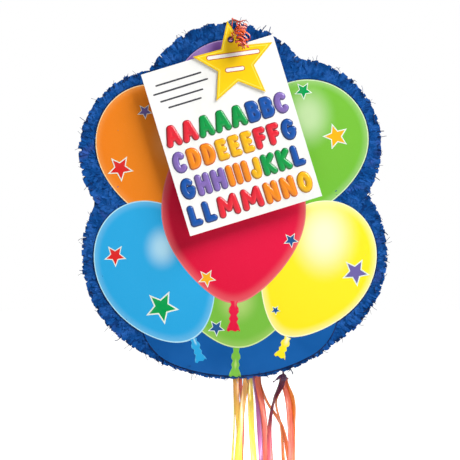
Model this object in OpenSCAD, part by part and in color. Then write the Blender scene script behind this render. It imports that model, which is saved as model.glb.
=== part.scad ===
// Pull-ribbon pinata: a flat card drum in the outline of a cluster of balloons. Its front is
// printed, tissue fringe covers the rest, and a trap door in the floor opens by ribbons.
// Frame: origin at the centre of the hanging ring's bore, which is also the middle of the
// depth. The front faces -Y, +X is to the right seen from the front, and +Z is up.

/* [Drum] */
// Depth over the two card panels
drum_depth = 70; // [60:1:90]
// Thickness of the card
card = 3; // [2:0.5:4]
// How far the tissue fringe stands out from the card, around the side
fringe = 4; // [3:0.5:5]
// Pitch of the rows of fringe across the back
back_pitch = 29; // [24:1:40]

/* [Hanger] */
// Radius of the hanging ring's bore
ring_bore_r = 3.25; // [2.5:0.25:4]
// Outer radius of the hanging ring
ring_r = 7.5; // [6.5:0.25:7.75]
// Thickness of the hanging ring
ring_t = 3; // [2:0.5:3]

/* [Trap door] */
// Angle from straight down to the door's free edge
trap_free = 15.8; // [15.6:0.1:16.2]
// Angle from straight down to the door's hinge
trap_hinge_angle = 35; // [34:0.5:36]
// Width of the door, front to back
trap_w = 48; // [40:1:52]
// Gap around the door
door_gap = 0.6; // [0.4:0.1:1]
// Radius of the hole for the release ribbons
release_hole_r = 2.5; // [2.2:0.1:3]

/* [Fill door] */
// Width of the flap in the back
fill_w = 90; // [60:5:94]
// Height of the flap in the back
fill_h = 60; // [50:5:70]
// Height of the flap's hinge
fill_top = -120; // [-140:5:-110]

/* [Ribbons] */
// Width of a hanging ribbon
ribbon_w = 8; // [6:0.5:8.5]
// Thickness of a hanging ribbon with its folds
ribbon_t = 1.6; // [1:0.1:2]
// Height of the ribbons' lower ends
ribbon_end = -740; // [-800:5:-650]

/* [Tag and stickers] */
// Width of the sticker sheet
sheet_w = 178; // [170:1:190]
// Height of the sticker sheet
sheet_h = 218; // [210:1:230]
// Lean of the sheet, anticlockwise seen from the front
sheet_lean = 17; // [0:1:20]
// Distance from the star's centre to its points
star_r = 55; // [45:1:60]
// Height of a letter sticker
sticker_h = 28; // [20:1:30]
// Thickness of a letter sticker
sticker_t = 1.2; // [0.4:0.1:2]

/* [Hidden] */
$fn = 96;

// The outline is a union of discs, one per balloon lobe, and a wide disc under them. Each is
// [x, z, radius, width of the fringed rim in front of it], about the drum's centre, and the
// radius is that of the fringe's tips.
drum_z = -233;
LOBES = [
    [-6, 122, 110, 22],
    [-95, 66, 104, 19],
    [-54, -72, 141, 14],
    [71, -71, 129.5, 15],
    [84, 75, 109, 18]
];
BASE = [1, -18, 214, 5];
base_from = 224;
base_to = 323;
card_in = 7;                        // the card's edge lies this far inside the tips
wall_in = card_in + card;
y_front = -drum_depth / 2;
y_back = drum_depth / 2;
y_inside = drum_depth / 2 - card;

// The side is six strips of card, which meet at these angles about the drum's centre
SEAMS = [65, 121.5, 180, 242, 308, 366, 425];
SEAM_REACH = 420;

// The floor's arc, seen from its own centre, in the part's frame
base_c = [BASE[0], drum_z + BASE[1]];
base_r = BASE[2] - card_in;

// Glue tabs: [lobe, angle], and the last ones sit on the floor's arc
TABS = [[0, 60], [0, 125], [1, 115], [1, 165], [1, 205], [2, 165], [2, 200], [2, 232],
    [3, 25], [3, -12], [3, -45], [4, 70], [4, 20], [4, -15], [5, 247], [5, 262]];
tab_arc = 7;
tab_leg = 12;
tab_t = 1.2;

print_t = 1;
border_t = 1.5;
border_roots = 34;                  // the border fringe's roots run this far in, under the print
side_rows = 4;                      // rows of fringe wound round the side, one node each
back_t = 2.5;
back_top = -8;                      // top of the first row of fringe across the back
tape_t = 0.4;
strip_h = 11;                       // each half of the fill door's tape hinge
fold_gap = 0.8;
fold_room = 13;                     // bare card above and below the fill door
strip_side = 4;                     // from the strip's ends to the fill door's sides
flap_row = 17;                      // a row of fringe on the fill door
flap_top = 13;                      // from the door's hinge to the first of them
pull_w = 18;                        // the paper tab that keeps the fill door shut
pull_h = 20;
pull_out = 9;

plate_t = 3;
plate_from = 74;
plate_to = 99;
plate_w = 40;
stem_w = 4.4;
foot_r = 8;
foot_t = 2;
foot_z = -15.4;
stem_gap = 0.3;                     // round the stem, where it passes through the card
ring_room = 3;                      // round the ring, where the fringe is parted
staple_x = 12;                      // the tag's ribbon is stapled down beside the ring
staple_w = 5.2;
staple_wire = 0.8;
staple_top = -1.2;
staple_foot = -17;
staple_gap = 0.15;

trap_tape = 3;                      // degrees of arc on each half of the trap door's tape hinge
trap_tape_w = 40;
parting = 1.5;                      // from the trap door's sides to the fringe round it
hole_angle = 18.1;                  // the release ribbons' hole, from straight down
hole_parting = 22;                  // the bare patch round the hole, front to back
washer_r = 7;
washer_t = 1;
knot_r = 4.2;                       // the knot that holds the ribbons above the door
knot_in = 5;                        // its middle, in from the door's inner face
pivot_out = 7;                      // the release ribbons turn this far outside the card
pivot_x = base_c[0] + (base_r + pivot_out) * sin(hole_angle);
pivot_z = base_c[1] - (base_r + pivot_out) * cos(hole_angle);
tie_top = pivot_z - 2;
tie_bottom = -466;
tie_r = 4;
cord_r = 1.6;                       // the release ribbons' twisted end in the door's hole

// Heights at which every hanging ribbon has a point, from its exit to its end
LEVELS = [-468, -495, -530, -570, ribbon_end];
ribbon_tail = -436;
slit_w = 10;
slit_t = 2.8;
slit_from = -472;
slit_h = 50;
// Decoy ribbons: [y where it leaves, y at its end, x at each of LEVELS]
DECOYS = [
    [-6, -6, [5, 5.5, 8.5, 9, 10]],
    [6, 6, [1.5, 2, 2, 0, -4]],
    [0, 0, [10, 12, 14.5, 12.5, 8]],
    [-12, -12, [18, 14, 10, 6, 3]],
    [-6, -6, [22.5, 24, 25, 28, 30]],
    [0, 0, [28.5, 32.5, 35.5, 38.5, 42]],
    [-6, -3, [33, 38, 42.5, 43.5, 42]],
    [6, 12, [35.5, 44, 65, 74, 72]]
];
// Release ribbons, in the same form
RELEASES = [
    [-2.6, -12, [66, 55, 49, 49.5, 52]],
    [-0.9, -2.5, [68.3, 73.5, 76.5, 77, 80]],
    [0.9, 7, [69, 79.5, 80, 79, 84]],
    [2.6, 2.5, [66.6, 57.5, 64, 67, 64]]
];

// The tag hangs from a bend in its ribbon, in front of the drum's top edge
bend_y = -52.5;
bend_z = 2;
sheet_c = [-1.3, -148.5];
sheet_y = -52;
sheet_t = 0.6;
star_c = [3, -54.5];
star_tip = 100.4;                   // direction of the star's top point
star_waist = 0.45;
star_t = 1;
dot_t = 1;
dot_r = 10;
dot_below = 16;                     // from the star's centre down to the glue dot
eyelet_at = 30;                     // from the star's centre towards its top point
eyelet_r = 3.75;
eyelet = star_c + eyelet_at * [cos(star_tip), sin(star_tip)];
star_y = sheet_y - sheet_t - dot_t;

TIE_ROUTE = [[12, 8, -3.8], [12, -18, -3.7], [8, -38, 0], [1, -46, 2], [0, -49, 2], [0, -50.8, 2]];
LOOP_ROUTE = [[0, -52.6, 0.3], [-2.4, -52.6, -23.5], [-2.4, -57, -25.5], [2, -59, -19]];
tie_w = 2.4;
loop_w = 1.2;
bend_r = 1.4;                       // the knot where the loop hangs from the ribbon
tag_knot = [5, -60.5, -16];
tag_knot_r = 3.6;
curls_c = [13, -65, -20];
curls_r = 10.5;

// Letter stickers: rows of [letter, colour, how many], and how wide each letter is
STICKER_ROWS = [
    [["A", "red", 2], ["A", "green", 3], ["B", "blue", 2], ["C", "purple", 1]],
    [["C", "purple", 1], ["D", "orange", 2], ["E", "yellow", 3], ["F", "red", 2], ["G", "blue", 1]],
    [["G", "blue", 1], ["H", "purple", 2], ["I", "orange", 3], ["J", "yellow", 1],
        ["K", "green", 2], ["L", "blue", 1]],
    [["L", "blue", 2], ["M", "red", 2], ["N", "orange", 2], ["O", "yellow", 1]]
];
LETTER_W = [["A", 21], ["B", 17.6], ["C", 17.9], ["D", 17.5], ["E", 15], ["F", 16.3], ["G", 19.1],
    ["H", 19], ["I", 8.6], ["J", 14.2], ["K", 18.2], ["L", 16.2], ["M", 28.6], ["N", 19], ["O", 19.3]];
row_pitch = 35.6;
row_left = 5.5;
row_right = 171.2;
row_1 = 130.5;                      // middle of the first row, above the sheet's lower edge
sticker_round = 3;

function letter_w(c) = [for (l = LETTER_W) if (l[0] == c) l[1]][0];
function row_widths(row) = [for (run = row) for (i = [1:run[2]]) letter_w(run[0])];
function row_colours(row) = [for (run = row) for (i = [1:run[2]]) run[1]];
function total(v, i = 0) = i < len(v) ? v[i] + total(v, i + 1) : 0;
function before(v, n) = n > 0 ? v[n - 1] + before(v, n - 1) : 0;
function unit(v) = v / norm(v);
function polar(r, a) = [r * cos(a), r * sin(a)];
function along(path, i) = unit(path[min(i + 1, len(path) - 1)] - path[max(i - 1, 0)]);
function hung(r, from) = concat(from, [for (i = [0:len(LEVELS) - 1])
    [r[2][i], r[0] + (r[1] - r[0]) * i / (len(LEVELS) - 1), LEVELS[i]]]);

// A shape drawn in x and z, given depth from y0 back to y1
module plate(y0, y1) {
    translate([0, y1, 0]) rotate([90, 0, 0]) linear_extrude(y1 - y0) children();
}

module disc(lobe, grow, rim) {
    translate([lobe[0], lobe[1]]) circle(lobe[2] + grow - rim * lobe[3], $fn = 180);
}

// The cluster's outline, moved out by grow, and in by each lobe's rim width if rim is 1
module outline(grow, rim = 0) {
    translate([0, drum_z]) {
        for (lobe = LOBES) disc(lobe, grow, rim);
        intersection() {
            disc(BASE, grow, rim);
            translate([BASE[0], BASE[1]]) polygon([[0, 0], polar(SEAM_REACH, base_from),
                polar(SEAM_REACH, (base_from + base_to) / 2), polar(SEAM_REACH, base_to)]);
        }
        polygon([for (lobe = LOBES) [lobe[0], lobe[1]]]);
    }
}

module band(outer, inner) {
    difference() {
        outline(outer);
        outline(inner);
    }
}

// Part of a ring about the origin, from angle a0 to a1
module arc(r0, r1, a0, a1) {
    reach = 3 * r1;
    intersection() {
        difference() {
            circle(r1, $fn = 180);
            circle(r0, $fn = 180);
        }
        polygon([[0, 0], polar(reach, a0), polar(reach, (a0 + a1) / 2), polar(reach, a1)]);
    }
}

// A curved plate on the floor's arc: radii r0 to r1, and angles from straight down towards +X
module base_arc(r0, r1, t0, t1, y0, y1) {
    plate(y0, y1) translate(base_c) arc(r0, r1, t0 - 90, t1 - 90);
}

// A hole for every decoy ribbon
module decoy_slits() {
    for (r = DECOYS) translate([r[2][0] - slit_w / 2, r[0] - slit_t / 2, slit_from])
        cube([slit_w, slit_t, slit_h]);
}

// Holes through the drum's top: a slot, w by t, about x, and the ones that the hanger needs
module top_slot(x, w, t) {
    translate([x - w / 2, -t / 2, -25]) cube([w, t, 30]);
}

module hanger_holes() {
    top_slot(0, stem_w + 2 * stem_gap, ring_t + 2 * stem_gap);
    for (side = [-1, 1]) top_slot(staple_x + side * (staple_w - staple_wire) / 2,
        staple_wire + 2 * staple_gap, staple_wire + 2 * staple_gap);
}

module fringe_partings() {
    top_slot(0, 2 * ring_r + 1, ring_t + 2 * ring_room);
    top_slot(staple_x, staple_w + 2 * staple_gap, staple_wire + 2 * staple_gap);
}

module rounded(w, h, r) {
    for (x = [-1, 1], y = [-1, 1]) translate([x * (w / 2 - r), y * (h / 2 - r)]) circle(r, $fn = 24);
    square([w - 2 * r, h], center = true);
    square([w, h - 2 * r], center = true);
}

// A flat ribbon or round tape swept along a route, w wide along X and t thick
module swept(path, w, t) {
    n = len(path);
    rings = [for (i = [0:n - 1]) let (d = along(path, i), u = unit([1, 0, 0] - d[0] * d), v = cross(d, u))
        for (k = [0:7]) path[i] + u * w / 2 * cos(45 * k + 22.5) / cos(22.5)
            + v * t / 2 * sin(45 * k + 22.5) / cos(22.5)];
    sides = [for (i = [0:n - 2], k = [0:7]) let (a = 8 * i + k, b = 8 * i + (k + 1) % 8)
        each [[a, a + 8, b], [b, a + 8, b + 8]]];
    polyhedron(rings, concat([[for (k = [0:7]) k]], sides, [[for (k = [7:-1:0]) 8 * (n - 1) + k]]));
}

module front_panel() {
    color("tan") plate(y_front, y_front + card) outline(-card_in);
}

module fill_window(side, low, high) {
    translate([-fill_w / 2 - side, y_inside - 1, fill_top - fill_h - low])
        cube([fill_w + 2 * side, 10, fill_h + low + high]);
}

module back_panel() {
    color("tan") difference() {
        plate(y_back - card, y_back) outline(-card_in);
        fill_window(0, 0, 0);
    }
}

module wall(i) {
    color("tan") difference() {
        plate(-y_inside, y_inside) intersection() {
            band(-card_in, -wall_in);
            translate([0, drum_z]) polygon([[0, 0], polar(SEAM_REACH, SEAMS[i]),
                polar(SEAM_REACH, (SEAMS[i] + SEAMS[i + 1]) / 2), polar(SEAM_REACH, SEAMS[i + 1])]);
        }
        if (i == 0) hanger_holes();
        if (i == 3) {
            base_arc(base_r - card - 1, base_r + 1, trap_free - door_gap / 3, trap_hinge_angle,
                -trap_w / 2 - door_gap, trap_w / 2 + door_gap);
            decoy_slits();
        }
    }
}
module wall_top() wall(0);
module wall_upper_left() wall(1);
module wall_lower_left() wall(2);
module wall_bottom() wall(3);
module wall_lower_right() wall(4);
module wall_upper_right() wall(5);

// Angle tabs glued into the corner between the side and a panel, whose inner face is at y
module glue_tabs(y, toward) {
    for (tab = TABS) {
        lobe = tab[0] < len(LOBES) ? LOBES[tab[0]] : BASE;
        r = lobe[2] - wall_in;
        at = [lobe[0], lobe[1] + drum_z];
        plate(min(y, y + toward * tab_leg), max(y, y + toward * tab_leg)) translate(at)
            arc(r - tab_t, r, tab[1] - tab_arc, tab[1] + tab_arc);
        plate(min(y, y + toward * tab_t), max(y, y + toward * tab_t)) translate(at)
            arc(r - tab_leg, r, tab[1] - tab_arc, tab[1] + tab_arc);
    }
}

module glue_tabs_front() {
    color("wheat") glue_tabs(-y_inside, 1);
}

module glue_tabs_back() {
    color("wheat") glue_tabs(y_inside, -1);
}

module hanger_plate() {
    r = LOBES[0][2] - wall_in;
    color("wheat") difference() {
        plate(-plate_w / 2, plate_w / 2) translate([LOBES[0][0], LOBES[0][1] + drum_z])
            arc(r - plate_t, r, plate_from, plate_to);
        hanger_holes();
    }
}

module hang_ring() {
    color([0.9, 0.95, 1, 0.5]) difference() {
        union() {
            rotate([90, 0, 0]) cylinder(h = ring_t, r = ring_r, center = true);
            translate([-stem_w / 2, -ring_t / 2, foot_z - 0.5])
                cube([stem_w, ring_t, -foot_z - ring_r + 2]);
            translate([0, 0, foot_z - foot_t]) cylinder(h = foot_t, r = foot_r);
        }
        rotate([90, 0, 0]) cylinder(h = ring_t + 1, r = ring_bore_r, center = true);
    }
}

module tie_staple() {
    h = staple_top - staple_foot;
    color("silver") translate([staple_x, 0, staple_foot]) {
        for (side = [-1, 1]) translate([side * (staple_w - staple_wire) / 2, 0, h / 2])
            cube([staple_wire, staple_wire, h], center = true);
        translate([0, 0, h - staple_wire / 2]) cube([staple_w, staple_wire, staple_wire], center = true);
    }
}

module border_fringe() {
    color("steelblue") plate(y_front - border_t, y_front) difference() {
        outline(-fringe);
        outline(-border_roots);
    }
}

module front_print() {
    color("dodgerblue") plate(y_front - border_t - print_t, y_front - border_t) outline(0, 1);
}

module side_fringe(i) {
    pitch = drum_depth / side_rows;
    color("royalblue") difference() {
        plate(y_front + i * pitch + 0.1, y_front + (i + 1) * pitch - 0.1)
            band(fringe - card_in, -card_in);
        fringe_partings();
        decoy_slits();
        base_arc(base_r - 1, base_r + fringe + 2, trap_free - door_gap, trap_hinge_angle + trap_tape + 0.3,
            -trap_w / 2 - parting, trap_w / 2 + parting);
    }
}
module side_fringe_1() side_fringe(0);
module side_fringe_2() side_fringe(1);
module side_fringe_3() side_fringe(2);
module side_fringe_4() side_fringe(3);

module back_fringe() {
    rows = ceil(2 * BASE[2] / back_pitch) + 2;
    color("royalblue") difference() {
        plate(y_back, y_back + back_t) intersection() {
            outline(-card_in);
            for (i = [0:rows]) translate([-SEAM_REACH, back_top - back_pitch * (i + 1) + 0.5])
                square([2 * SEAM_REACH, back_pitch - 1]);
        }
        fill_window(2, fold_room, fold_room);
    }
}

module fill_door() {
    color("tan") translate([-fill_w / 2 + door_gap, y_back - card, fill_top - fill_h + door_gap])
        cube([fill_w - 2 * door_gap, card, fill_h - door_gap]);
}

module fill_strip(z, h) {
    translate([-fill_w / 2 + strip_side, y_back, z]) cube([fill_w - 2 * strip_side, tape_t, h]);
}

module fill_hinge_upper() {
    color("ivory") fill_strip(fill_top + fold_gap, strip_h);
}

module fill_hinge_lower() {
    color("ivory") fill_strip(fill_top - fold_gap - strip_h, strip_h);
}

module fill_fringe() {
    color("royalblue") for (i = [0, 1])
        translate([-fill_w / 2 + 2, y_back, fill_top - flap_top - (flap_row + 1) * i - flap_row])
            cube([fill_w - 4, back_t, flap_row]);
}

module fill_tab() {
    color("ivory") translate([-pull_w / 2, y_back, fill_top - fill_h - pull_out])
        cube([pull_w, tape_t, pull_h]);
}

module trap_door() {
    color("tan") difference() {
        base_arc(base_r - card, base_r, trap_free, trap_hinge_angle, -trap_w / 2, trap_w / 2);
        at_hole() cylinder(h = 20, r = release_hole_r, center = true);
    }
}

// Stands its children on the door's outer face at the release hole, +Z outward
module at_hole() {
    translate([base_c[0], 0, base_c[1]]) rotate([0, 180 - hole_angle, 0]) translate([0, 0, base_r])
        children();
}

module trap_hinge_fixed() {
    color("ivory") base_arc(base_r, base_r + tape_t, trap_hinge_angle + 0.1,
        trap_hinge_angle + trap_tape, -trap_tape_w / 2, trap_tape_w / 2);
}

module trap_hinge_moving() {
    color("ivory") base_arc(base_r, base_r + tape_t, trap_hinge_angle - trap_tape,
        trap_hinge_angle - 0.1, -trap_tape_w / 2, trap_tape_w / 2);
}

module trap_fringe() {
    color("royalblue") difference() {
        base_arc(base_r, base_r + fringe, trap_free + 0.2, trap_hinge_angle - trap_tape - 0.2,
            -trap_w / 2, trap_w / 2);
        base_arc(base_r - 1, base_r + fringe + 1, trap_free - 1, hole_angle + 3,
            -hole_parting / 2, hole_parting / 2);
    }
}

module release_washer() {
    color("wheat") at_hole() translate([0, 0, -card - washer_t - 0.2]) difference() {
        cylinder(h = washer_t, r = washer_r);
        translate([0, 0, -1]) cylinder(h = washer_t + 2, r = release_hole_r);
    }
}

module release_knot() {
    color("darkorange") at_hole() {
        translate([0, 0, -card - knot_in]) sphere(knot_r, $fn = 32);
        translate([0, 0, -card - knot_in]) cylinder(h = card + knot_in + pivot_out - 0.8, r = cord_r);
        translate([0, 0, pivot_out]) sphere(cord_r, $fn = 32);
    }
}

module release_tie() {
    color("purple") translate([pivot_x, 0, tie_bottom]) cylinder(h = tie_top - tie_bottom, r = tie_r);
}

module release_ribbon(i, c) {
    r = RELEASES[i];
    color(c) swept(hung(r, [[r[2][0], r[0], tie_bottom]]), ribbon_w, ribbon_t);
}
module release_ribbon_1() release_ribbon(0, "orangered");
module release_ribbon_2() release_ribbon(1, "tomato");
module release_ribbon_3() release_ribbon(2, "darkorange");
module release_ribbon_4() release_ribbon(3, "orange");

module decoy_ribbon(i, c) {
    r = DECOYS[i];
    color(c) swept(hung(r, [[r[2][0], r[0], ribbon_tail]]), ribbon_w, ribbon_t);
}
module decoy_ribbon_1() decoy_ribbon(0, "gold");
module decoy_ribbon_2() decoy_ribbon(1, "khaki");
module decoy_ribbon_3() decoy_ribbon(2, "tomato");
module decoy_ribbon_4() decoy_ribbon(3, "goldenrod");
module decoy_ribbon_5() decoy_ribbon(4, "yellow");
module decoy_ribbon_6() decoy_ribbon(5, "mediumorchid");
module decoy_ribbon_7() decoy_ribbon(6, "orangered");
module decoy_ribbon_8() decoy_ribbon(7, "orange");

module tie_ribbon() {
    color("tomato") swept(TIE_ROUTE, tie_w, tie_w);
}

module tag_loop() {
    color("tomato") swept(LOOP_ROUTE, loop_w, loop_w);
}

module bend_knot() {
    color("tomato") translate([0, bend_y, bend_z]) sphere(bend_r, $fn = 32);
}

module tie_knot() {
    color("orangered") translate(tag_knot) sphere(tag_knot_r, $fn = 32);
}

module ribbon_curls() {
    color("tomato") difference() {
        translate(curls_c) scale([1, 0.8, 1.7]) sphere(curls_r, $fn = 24);
        translate(tag_knot) sphere(tag_knot_r + 0.4, $fn = 32);
    }
}

module star() {
    polygon([for (i = [0:9]) polar(star_r * (i % 2 == 0 ? 1 : star_waist), star_tip + 36 * i)]);
}

module star_tag() {
    color("gold") plate(star_y - star_t, star_y) difference() {
        translate(star_c) star();
        translate(eyelet) circle(eyelet_r);
    }
}

module glue_dot() {
    color("ivory") plate(star_y, star_y + dot_t) translate(star_c - [0, dot_below])
        circle(dot_r);
}

module sticker_sheet() {
    color("white") plate(sheet_y - sheet_t, sheet_y) translate(sheet_c) rotate(sheet_lean)
        square([sheet_w, sheet_h], center = true);
}

module stickers(colour) {
    plate(sheet_y - sheet_t - sticker_t, sheet_y - sheet_t) translate(sheet_c) rotate(sheet_lean)
        translate([-sheet_w / 2, -sheet_h / 2])
            for (j = [0:len(STICKER_ROWS) - 1]) {
                widths = row_widths(STICKER_ROWS[j]);
                colours = row_colours(STICKER_ROWS[j]);
                gap = (row_right - row_left - total(widths)) / (len(widths) - 1);
                for (i = [0:len(widths) - 1]) if (colours[i] == colour) {
                    middle = row_left + before(widths, i) + gap * i + widths[i] / 2;
                    translate([middle, row_1 - row_pitch * j]) rounded(widths[i], sticker_h, sticker_round);
                }
            }
}
module stickers_red() color("crimson") stickers("red");
module stickers_green() color("green") stickers("green");
module stickers_blue() color("royalblue") stickers("blue");
module stickers_purple() color("mediumpurple") stickers("purple");
module stickers_orange() color("darkorange") stickers("orange");
module stickers_yellow() color("gold") stickers("yellow");

front_panel();
back_panel();
wall_top();
wall_upper_left();
wall_lower_left();
wall_bottom();
wall_lower_right();
wall_upper_right();
glue_tabs_front();
glue_tabs_back();
hanger_plate();
hang_ring();
tie_staple();
border_fringe();
front_print();
side_fringe_1();
side_fringe_2();
side_fringe_3();
side_fringe_4();
back_fringe();
fill_door();
fill_hinge_upper();
fill_hinge_lower();
fill_fringe();
fill_tab();
trap_door();
trap_hinge_fixed();
trap_hinge_moving();
trap_fringe();
release_washer();
release_knot();
release_tie();
release_ribbon_1();
release_ribbon_2();
release_ribbon_3();
release_ribbon_4();
decoy_ribbon_1();
decoy_ribbon_2();
decoy_ribbon_3();
decoy_ribbon_4();
decoy_ribbon_5();
decoy_ribbon_6();
decoy_ribbon_7();
decoy_ribbon_8();
tie_ribbon();
bend_knot();
tag_loop();
tie_knot();
ribbon_curls();
star_tag();
glue_dot();
sticker_sheet();
stickers_red();
stickers_green();
stickers_blue();
stickers_purple();
stickers_orange();
stickers_yellow();
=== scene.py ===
"""Looks of a pull-ribbon pinata: tissue fringe, a printed cluster of balloons, hanging ribbons, and a
tag with letter stickers. Lengths are in millimetres until a mesh is made, and the frame's axes are
used throughout: the front faces -Y, +X is to the right seen from the front, and +Z is up."""

import bpy
import numpy as np
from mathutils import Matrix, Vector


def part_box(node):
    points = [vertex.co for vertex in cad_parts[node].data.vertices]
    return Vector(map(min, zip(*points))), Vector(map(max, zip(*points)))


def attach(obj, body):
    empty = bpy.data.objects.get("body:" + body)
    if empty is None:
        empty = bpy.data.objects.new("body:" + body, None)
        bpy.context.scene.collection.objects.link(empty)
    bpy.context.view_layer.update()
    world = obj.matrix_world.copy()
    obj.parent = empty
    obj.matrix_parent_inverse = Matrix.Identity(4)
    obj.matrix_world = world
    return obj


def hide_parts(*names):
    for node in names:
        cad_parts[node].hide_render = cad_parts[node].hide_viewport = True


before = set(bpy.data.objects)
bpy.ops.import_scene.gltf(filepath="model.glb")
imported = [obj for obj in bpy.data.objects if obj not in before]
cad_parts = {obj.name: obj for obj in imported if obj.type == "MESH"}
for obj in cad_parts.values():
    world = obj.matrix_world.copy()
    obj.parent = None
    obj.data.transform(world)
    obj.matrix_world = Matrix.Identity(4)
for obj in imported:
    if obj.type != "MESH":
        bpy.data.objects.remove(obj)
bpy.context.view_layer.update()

bl_info = {
    "name": "Pull-ribbon pinata",
    "version": (1, 0, 0),
    "blender": (4, 5, 0),
    "location": "3D View > Sidebar > Pinata",
    "description": "Tissue, print, ribbons and tag for a pull-ribbon pinata",
    "category": "Object",
}

MM = 0.001
SEED = 20

# The drum's outline: discs about the drum's centre, [x, z, radius] at the tips of the fringe, and
# the wide one under them, which shows between two angles
DRUM = np.array([0.0, -233.0])
LOBES = np.array([[-6, 122, 110], [-95, 66, 104], [-54, -72, 141], [71, -71, 129.5], [84, 75, 109]])
FLOOR = np.array([1.0, -18.0, 214.0])
FLOOR_SPAN = (224, 323)
MIDDLE = np.array([0.0, -245.0])        # every outline is measured from here
CARD_IN = 7
FRONT = -35.0                           # the front panel's face
BACK = 35.0                             # the back panel's face
PRINT = -37.5                           # the printed sheet's face
INK_STEP = 0.03                         # how far each printed balloon stands before the last
INK_BACK = 0.3                          # how far behind the sheet's face each print's rim ends
ROW = 17.5                              # depth of a row of fringe round the side

# The trap door, as angles from straight down about the floor's centre, and how far the tissue beside
# it, and beside the hanging ring, keeps from the middle of the drum's depth
DOOR = (15.8, 35.0)
DOOR_CLEAR = 25.8
RING_CLEAR = 4.8
# The fill door's window in the back fringe: half width, bottom and top, and how far above it the
# strips end
WINDOW = (47, -193, -107)
HINGE_GAP = 5

# Rows of cut tissue: how many, how long a strip is, and the step from one row to the next, round the
# front, round the side (whose step is ROW) and down the back, where the first row starts at BACK_TOP
RIM_ROWS, RIM_RUN, RIM_STEP = 8, 14, 6
SIDE_ROWS, SIDE_RUN = 4, 22
BACK_ROWS, BACK_RUN, BACK_STEP = 16, 38, 29
BACK_TOP = -8.0
TISSUE_OFF = 0.2                        # how far the back's strips start off the card

# The camera, and the lights: name, place, size, watts, the height that each is aimed at on the
# drum's axis, and spread in degrees, all in metres
CAMERA_LENS = 132.4
CAMERA_AT = (-0.00325, -2.2375, -0.2707)
LIGHTS = [
    ("key", (2.04, -1.45, 2.3), 1.8, 204, -0.27, 180), ("fill", (-1.5, -2.2, -0.1), 1.6, 2, -0.27, 180),
    ("low", (-0.4, -2.3, -0.7), 0.1, 0.17, -0.63, 8), ("back_left", (-1.8, 1.8, 0.7), 1.2, 30, -0.27, 180),
    ("back_right", (1.8, 1.8, 0.7), 1.2, 30, -0.27, 180),
]
WORLD_GLOW = 0.03                       # light from the backdrop, which is white where it is seen

# Heights at which each hanging ribbon has a point, and the ribbons: colour, y where it leaves, y at
# its end, x at each height, and how far its film turns, in degrees, at three places down its length
LEVELS = [-468, -495, -530, -570, -740]
TAIL = -436
FLOOR_Z = -760.0
TIE_BOTTOM = -466
DECOYS = [
    ("gold", -6, -6, [5, 5.5, 8.5, 9, 10], (10, 25, -20)),
    ("yellow", 6, 6, [1.5, 2, 2, 0, -4], (78, 74, 60)),
    ("redorange", 0, 0, [10, 12, 14.5, 12.5, 8], (50, 72, 60)),
    ("gold", -12, -12, [18, 14, 10, 6, 3], (-10, 15, 35)),
    ("yellow", -6, -6, [22.5, 24, 25, 28, 30], (5, -15, 10)),
    ("magenta", 0, 0, [28.5, 32.5, 35.5, 38.5, 42], (58, 35, -25)),
    ("redorange", -6, -3, [33, 38, 42.5, 43.5, 42], (-15, 20, 40)),
    ("orange", 6, 12, [35.5, 44, 65, 74, 72], (68, 55, 40)),
]
RELEASES = [
    ("plum", -2.6, -12, [66, 55, 49, 49.5, 52], (70, 35, -15)),
    ("redorange", -0.9, -2.5, [68.3, 73.5, 76.5, 77, 80], (5, -20, 25)),
    ("orange", 0.9, 7, [69, 79.5, 80, 79, 84], (40, 30, -20)),
    ("orange", 2.6, 2.5, [66.6, 57.5, 64, 67, 64], (70, 65, 40)),
]

# Printed balloons, rearmost first: middle of its widest line, half width, height above it, depth
# below it, lean of its neck to the right in degrees, and how far it narrows towards the neck
BALLOONS = {
    "purple": (-5, -95, 71.5, 71.5, 95, 0, 0.3),
    "orange": (-106, -157.5, 72, 76.5, 98, 5, 0.3),
    "green": (98, -152, 79, 77, 98, -5, 0.3),
    "low_green": (6, -320, 90, 80, 104, 2, 0.22),
    "light_blue": (-103, -317.5, 74, 88, 108, 28.5, 0.14),
    "yellow": (113, -313, 72, 83, 106, -28, 0.26),
    "red": (1.5, -245, 94, 120, 121, 0, 0.33),
}
# Highlight of each balloon: place as shares of its half width and height, radius, and how strong its
# lighter band along the edge is
SHINE = {
    "purple": (-0.5, 0.6, 0.3, 0.2), "orange": (0.42, 0.06, 0.5, 0.3), "green": (0.0, 0.3, 0.5, 0.35),
    "low_green": (0.0, -0.4, 0.35, 0.4), "light_blue": (0.14, 0.24, 0.34, 0.25),
    "yellow": (0.08, 0.35, 0.66, 0.4), "red": (0.3, 0.4, 0.4, 0.75),
}
# Printed stars: x, z, radius, direction of a point, and ink
STARS = [
    (-146, -190.5, 17.8, -84, "red"), (-114, -116.5, 10.5, -85, "purple"), (92, -89.5, 12.4, -86, "green"),
    (134.5, -149, 17.8, 108, "orange"), (-152.5, -304, 15.2, -88, "red"), (-92, -371, 23, 64, "green"),
    (-33.5, -333.5, 12.6, -84, "orange"), (76, -284, 10.6, -83, "blue"), (160, -325.5, 19, -83, "purple"),
    (56, -375, 6.6, -85, "blue"), (-21, -398, 11.8, -88, "blue"),
]
# Printed necks: top and bottom ends of each, in x and z, half width, and the balloon it closes
NECKS = [
    (-51, -412, -41, -441, 8, "light_blue"), (72, -410, 61, -436, 8, "yellow"),
    (5, -424, 3, -461, 8, "low_green"), (2, -363, 1, -402, 9, "red"),
]

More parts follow.
